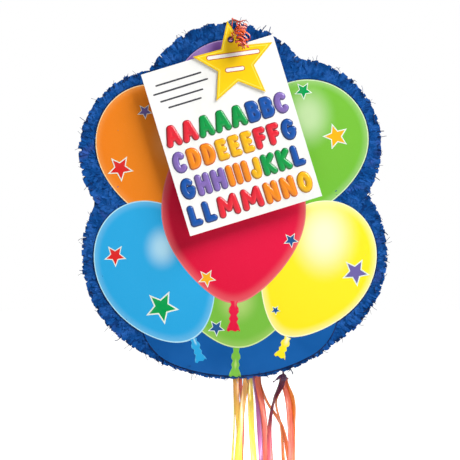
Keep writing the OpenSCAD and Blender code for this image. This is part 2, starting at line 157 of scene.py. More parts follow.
# The tag
SHEET_MIDDLE = np.array([-1.3, -148.5])
SHEET_SIZE = (178.0, 218.0)
SHEET_LEAN = 17.0
SHEET_FACE = -52.6
STAR_MIDDLE = np.array([3.0, -54.5])
STAR_R = 55.0
STAR_TIP = 100.4
STAR_WAIST = 0.45
STAR_FACE = -54.6
EYELET_AT = 30.0
BEND = np.array([0.0, -52.5, 2.0])
TIE_ROUTE = [[12, 8, -3.8], [12, -18, -3.7], [8, -38, 0], [1, -46, 2], [0, -49, 2], [0, -50.8, 2]]
LOOP_ROUTE = [[0, -52.6, 0.3], [-2.4, -52.6, -23.5], [-2.4, -57, -25.5], [2, -59, -19]]
TAG_KNOT = np.array([5.0, -60.5, -16.0])
CURLS = np.array([13.0, -65.0, -20.0])
# Rules in place of the sheet's words: middle in x and z, and length, and the same on the star
SHEET_RULES = [(-70, -76, 62), (-67, -86, 74), (-65.5, -97, 58), (-61.4, -106.4, 45)]
STAR_RULES = [(0.8, -44.4, 68), (3.2, -63.2, 24)]
# Letter stickers, row by row from the top: letter, colour and how many
STICKER_ROWS = [
    [("A", "red", 2), ("A", "green", 3), ("B", "blue", 2), ("C", "purple", 1)],
    [("C", "purple", 1), ("D", "orange", 2), ("E", "yellow", 3), ("F", "red", 2), ("G", "blue", 1)],
    [("G", "blue", 1), ("H", "purple", 2), ("I", "orange", 3), ("J", "yellow", 1), ("K", "green", 2),
     ("L", "blue", 1)],
    [("L", "blue", 2), ("M", "red", 2), ("N", "orange", 2), ("O", "yellow", 1)],
]
# Width of each letter, then the rows' two ends, the first row's height on the sheet, and the pitch
LETTER_W = {"A": 21, "B": 17.6, "C": 17.9, "D": 17.5, "E": 15, "F": 16.3, "G": 19.1, "H": 19,
            "I": 8.6, "J": 14.2, "K": 18.2, "L": 16.2, "M": 28.6, "N": 19, "O": 19.3}
ROW_LEFT, ROW_RIGHT, ROW_FIRST, ROW_PITCH = 5.5, 171.2, 130.5, 35.6
LETTER_H = 28.0
STROKE_EDGE, STROKE_TOP = 4.8, 3.8      # radii of a letter's dark edge and of its coloured pad
STROKE_ROOM = 8.6                       # how much less than the letter its middle lines measure


def ink(r, g, b):
    """A colour given by its usual 0 to 255 values, as the linear values that a shader takes."""
    v = np.array([r, g, b]) / 255
    return tuple(np.where(v <= 0.04045, v / 12.92, ((v + 0.055) / 1.055) ** 2.4))


INKS = {
    "purple": ink(130, 85, 165), "orange": ink(243, 136, 32), "green": ink(120, 192, 60),
    "low_green": ink(122, 190, 66), "light_blue": ink(44, 170, 228), "yellow": ink(252, 236, 40),
    "red": ink(234, 26, 70),
}
GLOWS = {
    "purple": ink(176, 140, 205), "orange": ink(252, 180, 110), "green": ink(200, 226, 174),
    "low_green": ink(186, 214, 124), "light_blue": ink(184, 228, 248), "yellow": ink(251, 250, 216),
    "red": ink(232, 104, 110),
}
DEEPS = {
    "purple": ink(104, 60, 140), "orange": ink(240, 126, 28), "green": ink(104, 184, 54),
    "low_green": ink(104, 176, 52), "light_blue": ink(34, 164, 226), "yellow": ink(252, 230, 26),
    "red": ink(222, 16, 56),
}
LINES = {
    "purple": ink(190, 160, 214), "orange": ink(250, 214, 160), "green": ink(212, 236, 190),
    "low_green": ink(208, 232, 160), "light_blue": ink(176, 226, 246), "yellow": ink(253, 250, 200),
    "red": ink(232, 118, 118),
}
STAR_INKS = {
    "red": ink(226, 40, 38), "purple": ink(112, 100, 168), "green": ink(0, 160, 80),
    "orange": ink(254, 184, 20), "blue": ink(24, 84, 148),
}
STICKER_INKS = {
    "red": ink(236, 38, 56), "green": ink(0, 158, 72), "blue": ink(16, 84, 170),
    "purple": ink(134, 108, 184), "orange": ink(250, 142, 20), "yellow": ink(252, 190, 20),
}
STICKER_EDGES = {
    "red": ink(160, 16, 38), "green": ink(0, 104, 44), "blue": ink(6, 42, 104),
    "purple": ink(86, 68, 140), "orange": ink(208, 92, 8), "yellow": ink(206, 136, 8),
}
# Films: colour, paler streaks that are painted sheen, and the colour that the lower end drifts to
FILMS = {
    "gold": (ink(250, 164, 40), ink(253, 200, 80), ink(253, 216, 60)),
    "yellow": (ink(252, 210, 30), ink(255, 236, 120), ink(254, 226, 60)),
    "redorange": (ink(228, 78, 30), ink(250, 140, 84), ink(238, 104, 96)),
    "orange": (ink(246, 136, 30), ink(252, 184, 96), ink(238, 112, 36)),
    "magenta": (ink(132, 54, 122), ink(206, 124, 186), ink(186, 104, 176)),
    "plum": (ink(90, 40, 80), ink(238, 110, 50), ink(236, 88, 112)),
    "pink": (ink(236, 140, 118), ink(252, 222, 208), ink(240, 170, 150)),
    "purple": (ink(104, 44, 98), ink(160, 92, 150), ink(90, 36, 80)),
}


# ---------------------------------------------------------------- user settings

class PinataSizes(bpy.types.PropertyGroup):
    ribbon_width: bpy.props.FloatProperty(
        name="Ribbon width", description="Width of a hanging ribbon", default=0.008, min=0.006,
        max=0.0085, unit="LENGTH")
    strip_width: bpy.props.FloatProperty(
        name="Fringe cut", description="Width of one cut strip of tissue", default=0.0034, min=0.002,
        max=0.006, unit="LENGTH")
    strip_lift: bpy.props.FloatProperty(
        name="Fringe lift", description="How far a strip's tip bends away from the card",
        default=0.6, min=0.1, max=1.2, subtype="ANGLE")
    letter_depth: bpy.props.FloatProperty(
        name="Sticker depth", description="How far a letter sticker stands off the sheet",
        default=0.0012, min=0.0004, max=0.002, unit="LENGTH")


class PinataColours(bpy.types.PropertyGroup):
    tissue: bpy.props.FloatVectorProperty(
        name="Tissue", description="Colour of the tissue fringe", size=3, subtype="COLOR",
        default=ink(7, 74, 146), min=0, max=1)
    # The pale tone of the tissue's patches, which also paints the highlight on the crepe's wrinkle ridges
    tissue_light: bpy.props.FloatVectorProperty(
        name="Tissue, faded", description="Lighter patches in the tissue", size=3, subtype="COLOR",
        default=ink(40, 98, 178), min=0, max=1)
    print_ground: bpy.props.FloatVectorProperty(
        name="Print ground", description="Colour printed between the balloons", size=3,
        subtype="COLOR", default=ink(10, 84, 156), min=0, max=1)
    star: bpy.props.FloatVectorProperty(
        name="Star tag", description="Colour of the star tag's card", size=3, subtype="COLOR",
        default=ink(255, 212, 0), min=0, max=1)


# ---------------------------------------------------------------- shapes

def unit(v):
    """Vectors divided by their lengths, along the last axis."""
    return v / np.maximum(np.linalg.norm(v, axis=-1, keepdims=True), 1e-12)


def polar(angle, radius=1.0):
    """Points at angles in degrees and radii, as x and z."""
    a = np.radians(angle)
    return np.stack([np.cos(a) * radius, np.sin(a) * radius], -1)


def turned(points, angle):
    """Points in x and z turned anticlockwise by an angle in degrees."""
    a = np.radians(angle)
    return points @ np.array([[np.cos(a), np.sin(a)], [-np.sin(a), np.cos(a)]])


def grid_quads(rows, cols, round_cols=False, start=0):
    """Quads of rows by cols points, stored row after row: each joins (i, j), (i + 1, j),
    (i + 1, j + 1) and (i, j + 1), and the last column joins the first if round_cols."""
    i, j = np.meshgrid(np.arange(rows - 1), np.arange(cols - (not round_cols)), indexing="ij")
    k = (j + 1) % cols
    return (np.stack([i * cols + j, (i + 1) * cols + j, (i + 1) * cols + k, i * cols + k], -1)
            .reshape(-1, 4) + start)


def shape(points, faces, uv=None, shade=0.0, ink_slot=0):
    """One part of a piece: points in millimetres, face arrays, a texture place and a shade for each
    point, and the material slot."""
    points = np.asarray(points, float).reshape(-1, 3)
    uv = np.zeros((len(points), 2)) if uv is None else np.asarray(uv, float).reshape(-1, 2)
    shade = np.broadcast_to(np.asarray(shade, float), (len(points),))
    return {"points": points, "faces": faces, "uv": uv, "shade": shade, "ink": ink_slot}


def make_mesh(name, shapes, materials, smooth=False):
    """A mesh object of all the shapes, with its texture places, shades and materials."""
    offsets = np.cumsum([0] + [len(s["points"]) for s in shapes])
    points = np.concatenate([s["points"] for s in shapes])
    faces = [(f + o, s["ink"]) for s, o in zip(shapes, offsets) for f in s["faces"] if len(f)]
    corners = np.concatenate([f.ravel() for f, _ in faces])
    sizes = np.concatenate([np.full(len(f), f.shape[1]) for f, _ in faces])
    inks = np.concatenate([np.full(len(f), k) for f, k in faces])
    mesh = bpy.data.meshes.new(name)
    mesh.vertices.add(len(points))
    mesh.vertices.foreach_set("co", (points * MM).astype(np.float32).ravel())
    mesh.loops.add(len(corners))
    mesh.loops.foreach_set("vertex_index", corners.astype(np.int32))
    mesh.polygons.add(len(sizes))
    mesh.polygons.foreach_set("loop_start", (np.cumsum(sizes) - sizes).astype(np.int32))
    mesh.polygons.foreach_set("material_index", inks.astype(np.int32))
    mesh.polygons.foreach_set("use_smooth", np.full(len(sizes), smooth))
    mesh.update(calc_edges=True)
    uv = np.concatenate([s["uv"] for s in shapes])
    mesh.uv_layers.new(name="UVMap").data.foreach_set("uv", uv[corners].astype(np.float32).ravel())
    shade = mesh.attributes.new("shade", "FLOAT", "POINT")
    shade.data.foreach_set("value", np.concatenate([s["shade"] for s in shapes]).astype(np.float32))
    for material in materials:
        mesh.materials.append(material)
    return bpy.data.objects.new(name, mesh)


def make_piece(name, shapes, materials, body, replaces=(), smooth=True):
    """A mesh of all the shapes, which rides on a CAD body and stands for CAD nodes."""
    piece = make_mesh(name, shapes, materials, smooth)
    bpy.context.scene.collection.objects.link(piece)
    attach(piece, body)
    if replaces:
        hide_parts(*replaces)
    return piece


def disc_reach(angles, discs, centre=MIDDLE):
    """How far rays from centre run before they leave the last of some discs: for a disc at offset
    d with radius r, it is d along the ray plus the root of r squared less d across squared."""
    rays = polar(angles)
    to = discs[:, :2] + DRUM - centre
    along = rays @ to.T
    inside = discs[:, 2] ** 2 - (to ** 2).sum(1) + along ** 2
    return np.where(inside > 0, along + np.sqrt(np.maximum(inside, 0)), 0)


def floor_reach(angles, grow):
    """How far rays from MIDDLE run to the floor's disc with its radius grown, and how many degrees
    inside the floor's two angles they meet it, which is negative outside them."""
    floor = disc_reach(angles, (FLOOR + [0, 0, grow])[None])[:, 0]
    hit = polar(angles) * floor[:, None] + MIDDLE - DRUM - FLOOR[:2]
    at = np.degrees(np.arctan2(hit[:, 1], hit[:, 0])) % 360
    return floor, np.minimum(at - FLOOR_SPAN[0], FLOOR_SPAN[1] - at)


def outline_reach(angles, grow=0.0):
    """The drum's outline from MIDDLE: the furthest of the lobes, and of the floor's disc where the
    ray meets it between its two angles."""
    best = disc_reach(angles, LOBES + [0, 0, grow]).max(1)
    floor, span = floor_reach(angles, grow)
    return np.where(span > 0, np.maximum(best, floor), best)


def card_reach(angles):
    """The card's edge from MIDDLE, a little inside the fringe's tips."""
    return outline_reach(angles, -CARD_IN)


def past_outline(points, grow=0.0):
    """How far points in x and z lie outside the drum's outline, along their rays from MIDDLE."""
    at = points - MIDDLE
    angle = np.degrees(np.arctan2(at[:, 1], at[:, 0]))
    return np.linalg.norm(at, axis=1) - outline_reach(angle, grow)


def balloon_outline(name, n=180):
    """An egg: half width times cos t across and height times sin t up; below its widest line the
    width also shrinks by the narrowing times sin squared t. Then it leans about its middle."""
    x, z, half, top, bottom, lean, narrow = BALLOONS[name]
    t = np.linspace(0, 2 * np.pi, n, endpoint=False)
    across = half * np.cos(t) * (1 - narrow * np.minimum(np.sin(t), 0) ** 2)
    up = np.where(np.sin(t) > 0, top, bottom) * np.sin(t)
    return turned(np.stack([across, up], -1), lean) + [x, z]


def line_reach(angles, loop, centre=MIDDLE):
    """How far rays from centre run before they cross a closed line of points for the last time:
    each ray and each stretch of the line are solved together as two straight lines."""
    rays = polar(angles)[:, None]
    a = (loop - centre)[None]
    e = np.roll(loop, -1, 0) - loop
    cross = rays[..., 0] * e[:, 1] - rays[..., 1] * e[:, 0]
    cross = np.where(np.abs(cross) < 1e-9, 1e-9, cross)
    run = (a[..., 0] * e[:, 1] - a[..., 1] * e[:, 0]) / cross
    share = (a[..., 0] * rays[..., 1] - a[..., 1] * rays[..., 0]) / cross
    return np.where((share >= 0) & (share <= 1) & (run > 0), run, 0).max(1)


def print_reach(angles):
    """The printed sheet's edge from MIDDLE: the furthest of the balloons and of the floor's disc,
    which draws in by the square of the share of its last stretch at either side."""
    best = np.max([line_reach(angles, balloon_outline(b)) for b in BALLOONS], axis=0)
    floor, span = floor_reach(angles, -5)
    floor = floor - 34 * np.clip(1 - (span - 2) / 22, 0, 1) ** 2
    return np.where(span > 2, np.maximum(best, floor), best)


def arc_places(reach, pitch):
    """Angles from MIDDLE that cut an outline, given by its reach, into even lengths of pitch."""
    angles = np.linspace(0, 360, 3601)
    line = polar(angles) * reach(angles)[:, None]
    run = np.concatenate([[0], np.cumsum(np.linalg.norm(np.diff(line, axis=0), axis=1))])
    return np.interp(np.arange(0, run[-1], pitch), run, angles)


def outward(reach, angles):
    """Directions square to an outline, given by its reach: the slope between points two degrees
    apart, turned by a right angle."""
    ahead = polar(angles + 1) * reach(angles + 1)[:, None]
    behind = polar(angles - 1) * reach(angles - 1)[:, None]
    d = unit(ahead - behind)
    return np.stack([d[:, 1], -d[:, 0]], -1)


def in_space(flat, y):
    """Points or directions in x and z, given a y."""
    return np.stack([flat[..., 0], np.broadcast_to(y, flat.shape[:-1]), flat[..., 1]], -1)


def tissue_strips(root, out, lift, length, width, bend, rng, taper=0.4):
    """Cut strips of tissue as closed slivers. Each strip's middle follows an arc that leaves its
    root along out and bends towards lift by bend radians over its length, its width falls by taper
    at the tip, and its section is a shallow fold with a raised middle and two edges."""
    n = len(root)
    out, lift = unit(out), unit(lift)
    side = unit(np.cross(out, lift))
    s = np.array([0.0, 0.35, 0.7, 1.0])[None, :, None]
    k = np.where(np.abs(bend) < 0.02, 0.02, bend)[:, None, None]
    length = np.broadcast_to(length, (n,))[:, None, None]
    middle = (root[:, None] + out[:, None] * length * np.sin(k * s) / k
              + lift[:, None] * length * (1 - np.cos(k * s)) / k)
    up = lift[:, None] * np.cos(k * s) - out[:, None] * np.sin(k * s)
    twist = rng.uniform(-0.5, 0.5, (n, 1, 1)) * s
    across = side[:, None] * np.cos(twist) + up * np.sin(twist)
    half = np.broadcast_to(width, (n,))[:, None, None] * (1 - taper * s * s) / 2
    fold = rng.uniform(0.15, 0.45, (n, 1, 1))
    rings = np.stack([middle - across * half, middle + up * fold, middle + across * half,
                      middle + up * (fold - 0.25)], 2)
    strip = np.arange(n)[:, None, None] * 16
    i = np.arange(3)[:, None] * 4
    j = np.arange(4)[None]
    k2 = (j + 1) % 4
    body = np.stack([i + j, i + 4 + j, i + 4 + k2, i + k2], -1).reshape(1, -1, 4)
    ends = np.array([[[0, 1, 2, 3], [15, 14, 13, 12]]])
    faces = np.concatenate([body, ends], 1) + strip
    uv = np.stack(np.broadcast_arrays(np.array([0, 0.5, 1, 0.5])[None, None], s), -1)
    uv = np.broadcast_to(uv, (n, 4, 4, 2)) + rng.uniform(0, 9, (n, 1, 1, 2)).round()
    shade = np.repeat(rng.uniform(0, 1, n), 16)
    return shape(rings, [faces.reshape(-1, 4)], uv, shade)


def ribbon(path, width, thick, turn, cup=0.0, cols=5, across=(1, 0, 0)):
    """Film swept along a path. At each point the film lies across the given direction, made square
    to the path and turned about it, and bows by cup towards its face; its two faces are thick
    apart, and each end is closed."""
    n = len(path)
    along = unit(np.gradient(path, axis=0))
    side = np.asarray(across, float) - along * (along @ np.asarray(across, float))[:, None]
    side = unit(side)
    face = np.cross(along, side)
    a = np.radians(np.broadcast_to(turn, (n,)))[:, None]
    flat, up = side * np.cos(a) + face * np.sin(a), face * np.cos(a) - side * np.sin(a)
    u = np.linspace(-1, 1, cols)
    bow = cup * (1 - u ** 2)
    width = np.broadcast_to(width, (n,))[:, None, None]
    middle = path[:, None] + flat[:, None] * u[:, None] * width / 2
    top = middle + up[:, None] * (bow + thick / 2)[:, None]
    low = middle + up[:, None] * (bow - thick / 2)[:, None]
    rings = np.concatenate([top, low[:, ::-1]], 1)
    m = 2 * cols
    j = np.arange(cols - 1)
    cap = np.stack([j, j + 1, m - 2 - j, m - 1 - j], -1)
    run = np.concatenate([[0], np.cumsum(np.linalg.norm(np.diff(path, axis=0), axis=1))])
    round_it = np.concatenate([u, u[::-1]])[None] / 2 + 0.5
    uv = np.stack(np.broadcast_arrays(round_it, run[:, None] / 100), -1)
    faces = [grid_quads(n, m, True)[:, ::-1], cap, cap[:, ::-1] + (n - 1) * m]
    return shape(rings, faces, uv)


def smooth_route(knots, n):
    """A route through knots: each stretch is a cubic that leaves and arrives along the line between
    its neighbours, cut so that points are even along it."""
    knots = np.asarray(knots, float)
    run = np.concatenate([[0], np.cumsum(np.linalg.norm(np.diff(knots, axis=0), axis=1))])
    slope = np.gradient(knots, run, axis=0)
    fine = np.linspace(0, run[-1], 40 * len(knots))
    i = np.clip(np.searchsorted(run, fine, "right") - 1, 0, len(knots) - 2)
    h = (run[i + 1] - run[i])[:, None]
    t = ((fine - run[i]) / h[:, 0])[:, None]
    line = ((2 * t ** 3 - 3 * t ** 2 + 1) * knots[i] + (t ** 3 - 2 * t ** 2 + t) * h * slope[i]
            + (3 * t ** 2 - 2 * t ** 3) * knots[i + 1] + (t ** 3 - t ** 2) * h * slope[i + 1])
    length = np.concatenate([[0], np.cumsum(np.linalg.norm(np.diff(line, axis=0), axis=1))])
    even = np.linspace(0, length[-1], n)
    return np.stack([np.interp(even, length, line[:, k]) for k in range(3)], 1)


def tube(path, radius, sides=12):
    """A round cord along a path: circles of the given radius square to the path, the first and last
    of them smaller, which rounds the ends."""
    n = len(path)
    along = unit(np.gradient(path, axis=0))
    first = np.where(np.abs(along[:, :1]) < 0.9, [[1.0, 0, 0]], [[0, 0, 1.0]])
    side = unit(first - along * (along * first).sum(1, keepdims=True))
    up = np.cross(along, side)
    a = np.linspace(0, 2 * np.pi, sides, endpoint=False)
    radius = np.broadcast_to(radius, (n,)).copy()
    radius[[0, -1]] *= 0.3
    ring = side[:, None] * np.cos(a)[:, None] + up[:, None] * np.sin(a)[:, None]
    points = path[:, None] + ring * radius[:, None, None]
    cap = np.arange(sides)[None]
    uv = np.stack(np.broadcast_arrays(a[None] / (2 * np.pi), np.arange(n)[:, None] / n), -1)
    faces = [grid_quads(n, sides, True)[:, ::-1], cap, cap[:, ::-1] + (n - 1) * sides]
    return shape(points, faces, uv)


def polar_plate(outline, centre, face, back, rings=8, ink_slot=0):
    """A flat plate in front of the drum: rings of points shrink an outline towards its centre on
    the face at y = face, and the outline is carried back to y = back. Its texture place is the
    place from centre over the outline's half sizes, and its shade is 0 at the centre and 1 at the
    edge. The middle is closed by a fan."""
    n = len(outline)
    share = np.linspace(1, 0, rings + 1)[:-1]
    flat = centre + (outline - centre)[None] * share[:, None, None]
    centre = np.asarray(centre, float)
    j = np.arange(n)
    nxt = (j + 1) % n
    inner, hub, rim = (rings - 1) * n, rings * n, rings * n + 1
    fan = np.stack([inner + j, np.full(n, hub), inner + nxt], -1)
    wall = np.stack([rim + j, j, nxt, rim + nxt], -1)
    base = np.stack([rim + j, rim + nxt, np.full(n, rim + n)], -1)
    points = np.concatenate([in_space(flat, face).reshape(-1, 3), in_space(centre[None], face),
                             in_space(outline, back), in_space(centre[None], back)])
    shade = np.concatenate([np.repeat(share, n), [0], np.ones(n), [0]])
    size = np.abs(outline - centre).max(0)
    uv = (points[:, [0, 2]] - centre) / size
    return shape(points, [grid_quads(rings, n, True), wall, base, fan], uv, shade, ink_slot)


def star_outline(middle, radius, tip):
    """Ten corners, at the radius and at its share STAR_WAIST in turn, from a point at angle tip."""
    k = np.arange(10)
    return polar(tip + 36 * k, radius * np.where(k % 2 == 0, 1, STAR_WAIST)) + middle


def bar_outline(x, z, length, height, lean, n=8):
    """A rule with round ends: half circles of n points at the two ends of a line, turned by lean."""
    a = np.linspace(-90, 90, n)
    end = polar(a, height / 2) + [length / 2 - height / 2, 0]
    both = np.concatenate([end, -end])
    return turned(both, lean) + [x, z]


# ---------------------------------------------------------------- materials

def effect(name, inputs, outputs, build):
    """A shader node group with named sockets, made once."""
    tree = bpy.data.node_groups.get(name)
    if tree:
        return tree
    tree = bpy.data.node_groups.new(name, "ShaderNodeTree")
    for label, kind, value in inputs:
        socket = tree.interface.new_socket(label, in_out="INPUT", socket_type="NodeSocket" + kind)
        if value is not None:
            socket.default_value = value
    for label, kind in outputs:
        tree.interface.new_socket(label, in_out="OUTPUT", socket_type="NodeSocket" + kind)
    build(tree, tree.nodes.new("NodeGroupInput"), tree.nodes.new("NodeGroupOutput"))
    return tree


def add(tree, kind, inputs=None, **settings):
    """A node of a shader tree, with its settings, and its inputs set or linked by name or place."""
    node = tree.nodes.new("ShaderNode" + kind)
    for key, value in settings.items():
        setattr(node, key, value)
    for key, value in (inputs or {}).items():
        if isinstance(value, bpy.types.NodeSocket):
            tree.links.new(value, node.inputs[key])
        else:
            node.inputs[key].default_value = value
    return node


def blended(tree, share, a, b, how="MIX"):
    """A colour between a and b."""
    node = add(tree, "Mix", {0: share}, data_type="RGBA", blend_type=how)
    for place, value in ((6, a), (7, b)):
        if isinstance(value, bpy.types.NodeSocket):
            tree.links.new(value, node.inputs[place])
        else:
            node.inputs[place].default_value = (*value[:3], 1)
    return node.outputs[2]


def math(tree, how, a, b=0.0):
    """A number worked out from two others."""
    return add(tree, "Math", {0: a, 1: b}, operation=how).outputs[0]


def ramp(tree, value, low, high, soft=True):
    """0 below low, 1 above high, and between them a smooth rise."""
    return add(tree, "MapRange", {0: value, 1: low, 2: high},
               interpolation_type="SMOOTHSTEP" if soft else "LINEAR").outputs[0]


def mottle_effect():
    """Two colours in soft cloudy patches, and a fine height."""
    def build(tree, given, result):
        place = add(tree, "TexCoord").outputs["Object"]
        cloud = add(tree, "TexNoise", {"Vector": place, "Scale": given.outputs["Patch"], "Detail": 3.0})
        fine = add(tree, "TexNoise", {"Vector": place, "Scale": given.outputs["Grain"], "Detail": 5.0})
        share = ramp(tree, cloud.outputs[0], 0.36, 0.66)
        share = math(tree, "MULTIPLY", share, given.outputs["Amount"])
        tree.links.new(blended(tree, share, given.outputs["Colour"], given.outputs["Second"]),
                       result.inputs["Colour"])
        tree.links.new(fine.outputs[0], result.inputs["Height"])
        rough = add(tree, "MapRange", {0: fine.outputs[0], 3: 0.35, 4: 0.6})
        tree.links.new(rough.outputs[0], result.inputs["Rough"])
    return effect("Mottle", [("Colour", "Color", None), ("Second", "Color", None),
                             ("Patch", "Float", 40.0), ("Grain", "Float", 900.0), ("Amount", "Float", 1.0)],
                  [("Colour", "Color"), ("Height", "Float"), ("Rough", "Float")], build)


def crepe_effect():
    """Crepe tissue: paler and tinted patches drift over the drum, each strip is a little lighter or
    darker at random, the darker ones as painted shade, and fine wrinkles run across each strip, lighter
    where they rise as a painted highlight."""
    def build(tree, given, result):
        place = add(tree, "TexCoord")
        where = place.outputs["Object"]
        own = add(tree, "Attribute", attribute_name="shade").outputs["Fac"]
        patch = add(tree, "TexNoise", {"Vector": where, "Scale": 70.0, "Detail": 5.0,
                                       "Roughness": 0.65}).outputs[0]
        tint = add(tree, "TexNoise", {"Vector": where, "Scale": 38.0, "Detail": 4.0}).outputs[0]
        squeeze = add(tree, "Mapping", {"Vector": place.outputs["UV"], "Scale": (3.0, 26.0, 1.0)})
        wrinkle = add(tree, "TexNoise", {"Vector": squeeze.outputs[0], "Scale": 1.0,
                                         "Detail": 2.0}).outputs[0]
        pale_tone = ramp(tree, math(tree, "ADD", patch, math(tree, "MULTIPLY", own, 0.14)), 0.52, 0.7)
        colour = blended(tree, math(tree, "MULTIPLY", pale_tone, 0.75), given.outputs["Colour"],
                         given.outputs["Pale tone and ridge highlight"])
        colour = blended(tree, math(tree, "MULTIPLY", ramp(tree, tint, 0.58, 0.72), 0.5), colour,
                         given.outputs["Tint"])
        # Darker strips and patches, mixed towards the Shadow colour at random, are painted shade among the
        # strips
        dark = math(tree, "MULTIPLY", ramp(tree, math(tree, "ADD", own, patch), 0.85, 0.4), 0.8)
        colour = blended(tree, dark, colour, given.outputs["Shadow"])
        # Where the wrinkles rise the colour goes towards the pale tone: a painted highlight on the crepe's
        # ridges
        colour = blended(tree, math(tree, "MULTIPLY", ramp(tree, wrinkle, 0.55, 0.75), 0.18), colour,
                         given.outputs["Pale tone and ridge highlight"])
        tree.links.new(colour, result.inputs["Colour"])
        tree.links.new(wrinkle, result.inputs["Height"])
    return effect("Crepe tissue", [("Colour", "Color", None), ("Pale tone and ridge highlight", "Color", None),
                                   ("Tint", "Color", None), ("Shadow", "Color", None)],
                  [("Colour", "Color"), ("Height", "Float")], build)


def balloon_effect():
    """A printed balloon: a soft glow round one place, slightly deeper ink away from it, a lighter
    band inside the edge, and a thin pale line along it."""
    def build(tree, given, result):
        place = add(tree, "TexCoord")
        edge = add(tree, "Attribute", attribute_name="shade").outputs["Fac"]
        apart = add(tree, "VectorMath", {0: place.outputs["UV"], 1: given.outputs["Glow place"]},
                    operation="DISTANCE")
        far = apart.outputs["Value"]
        colour = blended(tree, ramp(tree, far, 0.6, 1.9), given.outputs["Colour"], given.outputs["Deep"])
        glow = ramp(tree, math(tree, "DIVIDE", far, given.outputs["Glow size"]), 1.0, 0.1)
        colour = blended(tree, math(tree, "MULTIPLY", glow, 0.9), colour, given.outputs["Glow"])
        band = math(tree, "MULTIPLY", ramp(tree, edge, 0.86, 1.0), given.outputs["Band"])
        colour = blended(tree, band, colour, given.outputs["Glow"])
        colour = blended(tree, ramp(tree, edge, 0.981, 0.985), colour, given.outputs["Line"])
        grain = add(tree, "TexNoise", {"Vector": place.outputs["Object"], "Scale": 1400.0,
                                       "Detail": 2.0}).outputs[0]
        speck = math(tree, "MULTIPLY", ramp(tree, grain, 0.5, 0.8), 0.02)
        tree.links.new(blended(tree, speck, colour, (1, 1, 1)), result.inputs["Colour"])
        tree.links.new(grain, result.inputs["Height"])
    return effect("Printed balloon", [("Colour", "Color", None), ("Deep", "Color", None),
                                      ("Glow", "Color", None), ("Line", "Color", None),
                                      ("Glow place", "Vector", None), ("Glow size", "Float", 0.6),
                                      ("Band", "Float", 0.3)],
                  [("Colour", "Color"), ("Height", "Float")], build)


def film_effect():
    """Plastic ribbon: long streaks between two colours, the paler one painted sheen, which drift to a third
    down its length, edges darkened as painted shade, and fine drawn lines."""
    def build(tree, given, result):
        uv = add(tree, "TexCoord").outputs["UV"]
        streak = add(tree, "TexNoise", {"Vector": add(tree, "Mapping", {
            "Vector": uv, "Scale": (5.0, 1.4, 1.0)}).outputs[0], "Scale": 1.6, "Detail": 3.0}).outputs[0]
        lines = add(tree, "TexNoise", {"Vector": add(tree, "Mapping", {
            "Vector": uv, "Scale": (60.0, 1.0, 1.0)}).outputs[0], "Scale": 1.0, "Detail": 1.0}).outputs[0]
        parts = add(tree, "SeparateXYZ", {0: uv})
        rim = ramp(tree, math(tree, "ABSOLUTE", math(tree, "SUBTRACT", parts.outputs[0], 0.5)), 0.38, 0.5)
        colour = blended(tree, ramp(tree, parts.outputs[1], 0.35, 1.0), given.outputs["Colour"],
                         given.outputs["End"])
        # Paler streaks along the film are painted sheen
        colour = blended(tree, math(tree, "MULTIPLY", ramp(tree, streak, 0.42, 0.7), 0.7), colour,
                         given.outputs["Pale"])
        # The film's edges are darkened as painted shade
        dark = blended(tree, 1.0, colour, (0.5, 0.34, 0.3), "MULTIPLY")
        colour = blended(tree, math(tree, "MULTIPLY", rim, 0.7), colour, dark)
        tree.links.new(colour, result.inputs["Colour"])
        tree.links.new(lines, result.inputs["Height"])
        rough = add(tree, "MapRange", {0: streak, 3: 0.16, 4: 0.36}).outputs[0]
        tree.links.new(rough, result.inputs["Rough"])
    return effect("Ribbon film", [("Colour", "Color", None), ("Pale", "Color", None),
                                  ("End", "Color", None)],
                  [("Colour", "Color"), ("Height", "Float"), ("Rough", "Float")], build)


def finish(name, group, values, bump=0.1, deep=0.0003, **fixed):
    """A material: an effect's colour, roughness and height on a Principled shader, whose other
    values are fixed."""
    found = bpy.data.materials.get(name)
    if found:
        return found
    material = bpy.data.materials.new(name)
    material.use_nodes = True
    tree = material.node_tree
    shader = tree.nodes["Principled BSDF"]
    look = tree.nodes.new("ShaderNodeGroup")
    look.node_tree = group
    for key, value in values.items():
        colour = len(np.shape(value)) and key != "Glow place"
        look.inputs[key].default_value = (*value, 1) if colour else value
    tree.links.new(look.outputs["Colour"], shader.inputs["Base Color"])
    if "Rough" in look.outputs and "Roughness" not in fixed:
        tree.links.new(look.outputs["Rough"], shader.inputs["Roughness"])
    height = add(tree, "Bump", {"Strength": bump, "Distance": deep, "Height": look.outputs["Height"]})
    tree.links.new(height.outputs[0], shader.inputs["Normal"])
    for key, value in fixed.items():
        shader.inputs[key.replace("_", " ")].default_value = value
    return material


def mottled(name, colour, second, patch=40.0, grain=900.0, amount=1.0, bump=0.15, deep=0.0003,
            **fixed):
    """A material of two colours in cloudy patches."""
    return finish(name, mottle_effect(), {"Colour": colour, "Second": second, "Patch": patch,
                                          "Grain": grain, "Amount": amount}, bump, deep, **fixed)


def tissue_material():
    """Blue crepe tissue in the colours that the user sets."""
    colours = bpy.context.scene.pinata_colours
    return finish("blue tissue", crepe_effect(), {
        "Colour": tuple(colours.tissue), "Pale tone and ridge highlight": tuple(colours.tissue_light),
        # Shadow is the dark blue of the painted shade among the strips
        "Tint": ink(64, 84, 166), "Shadow": ink(8, 48, 106)}, 0.5, 0.0004, Roughness=0.85,
        Specular_IOR_Level=0.1)


def tuft_material():
    """Tissue in shadow, for the loose tufts."""
    return mottled("dark tissue", ink(10, 40, 92), ink(30, 36, 74), 60.0, 900.0, 0.8, 0.4, 0.0003,
                   Roughness=0.85)


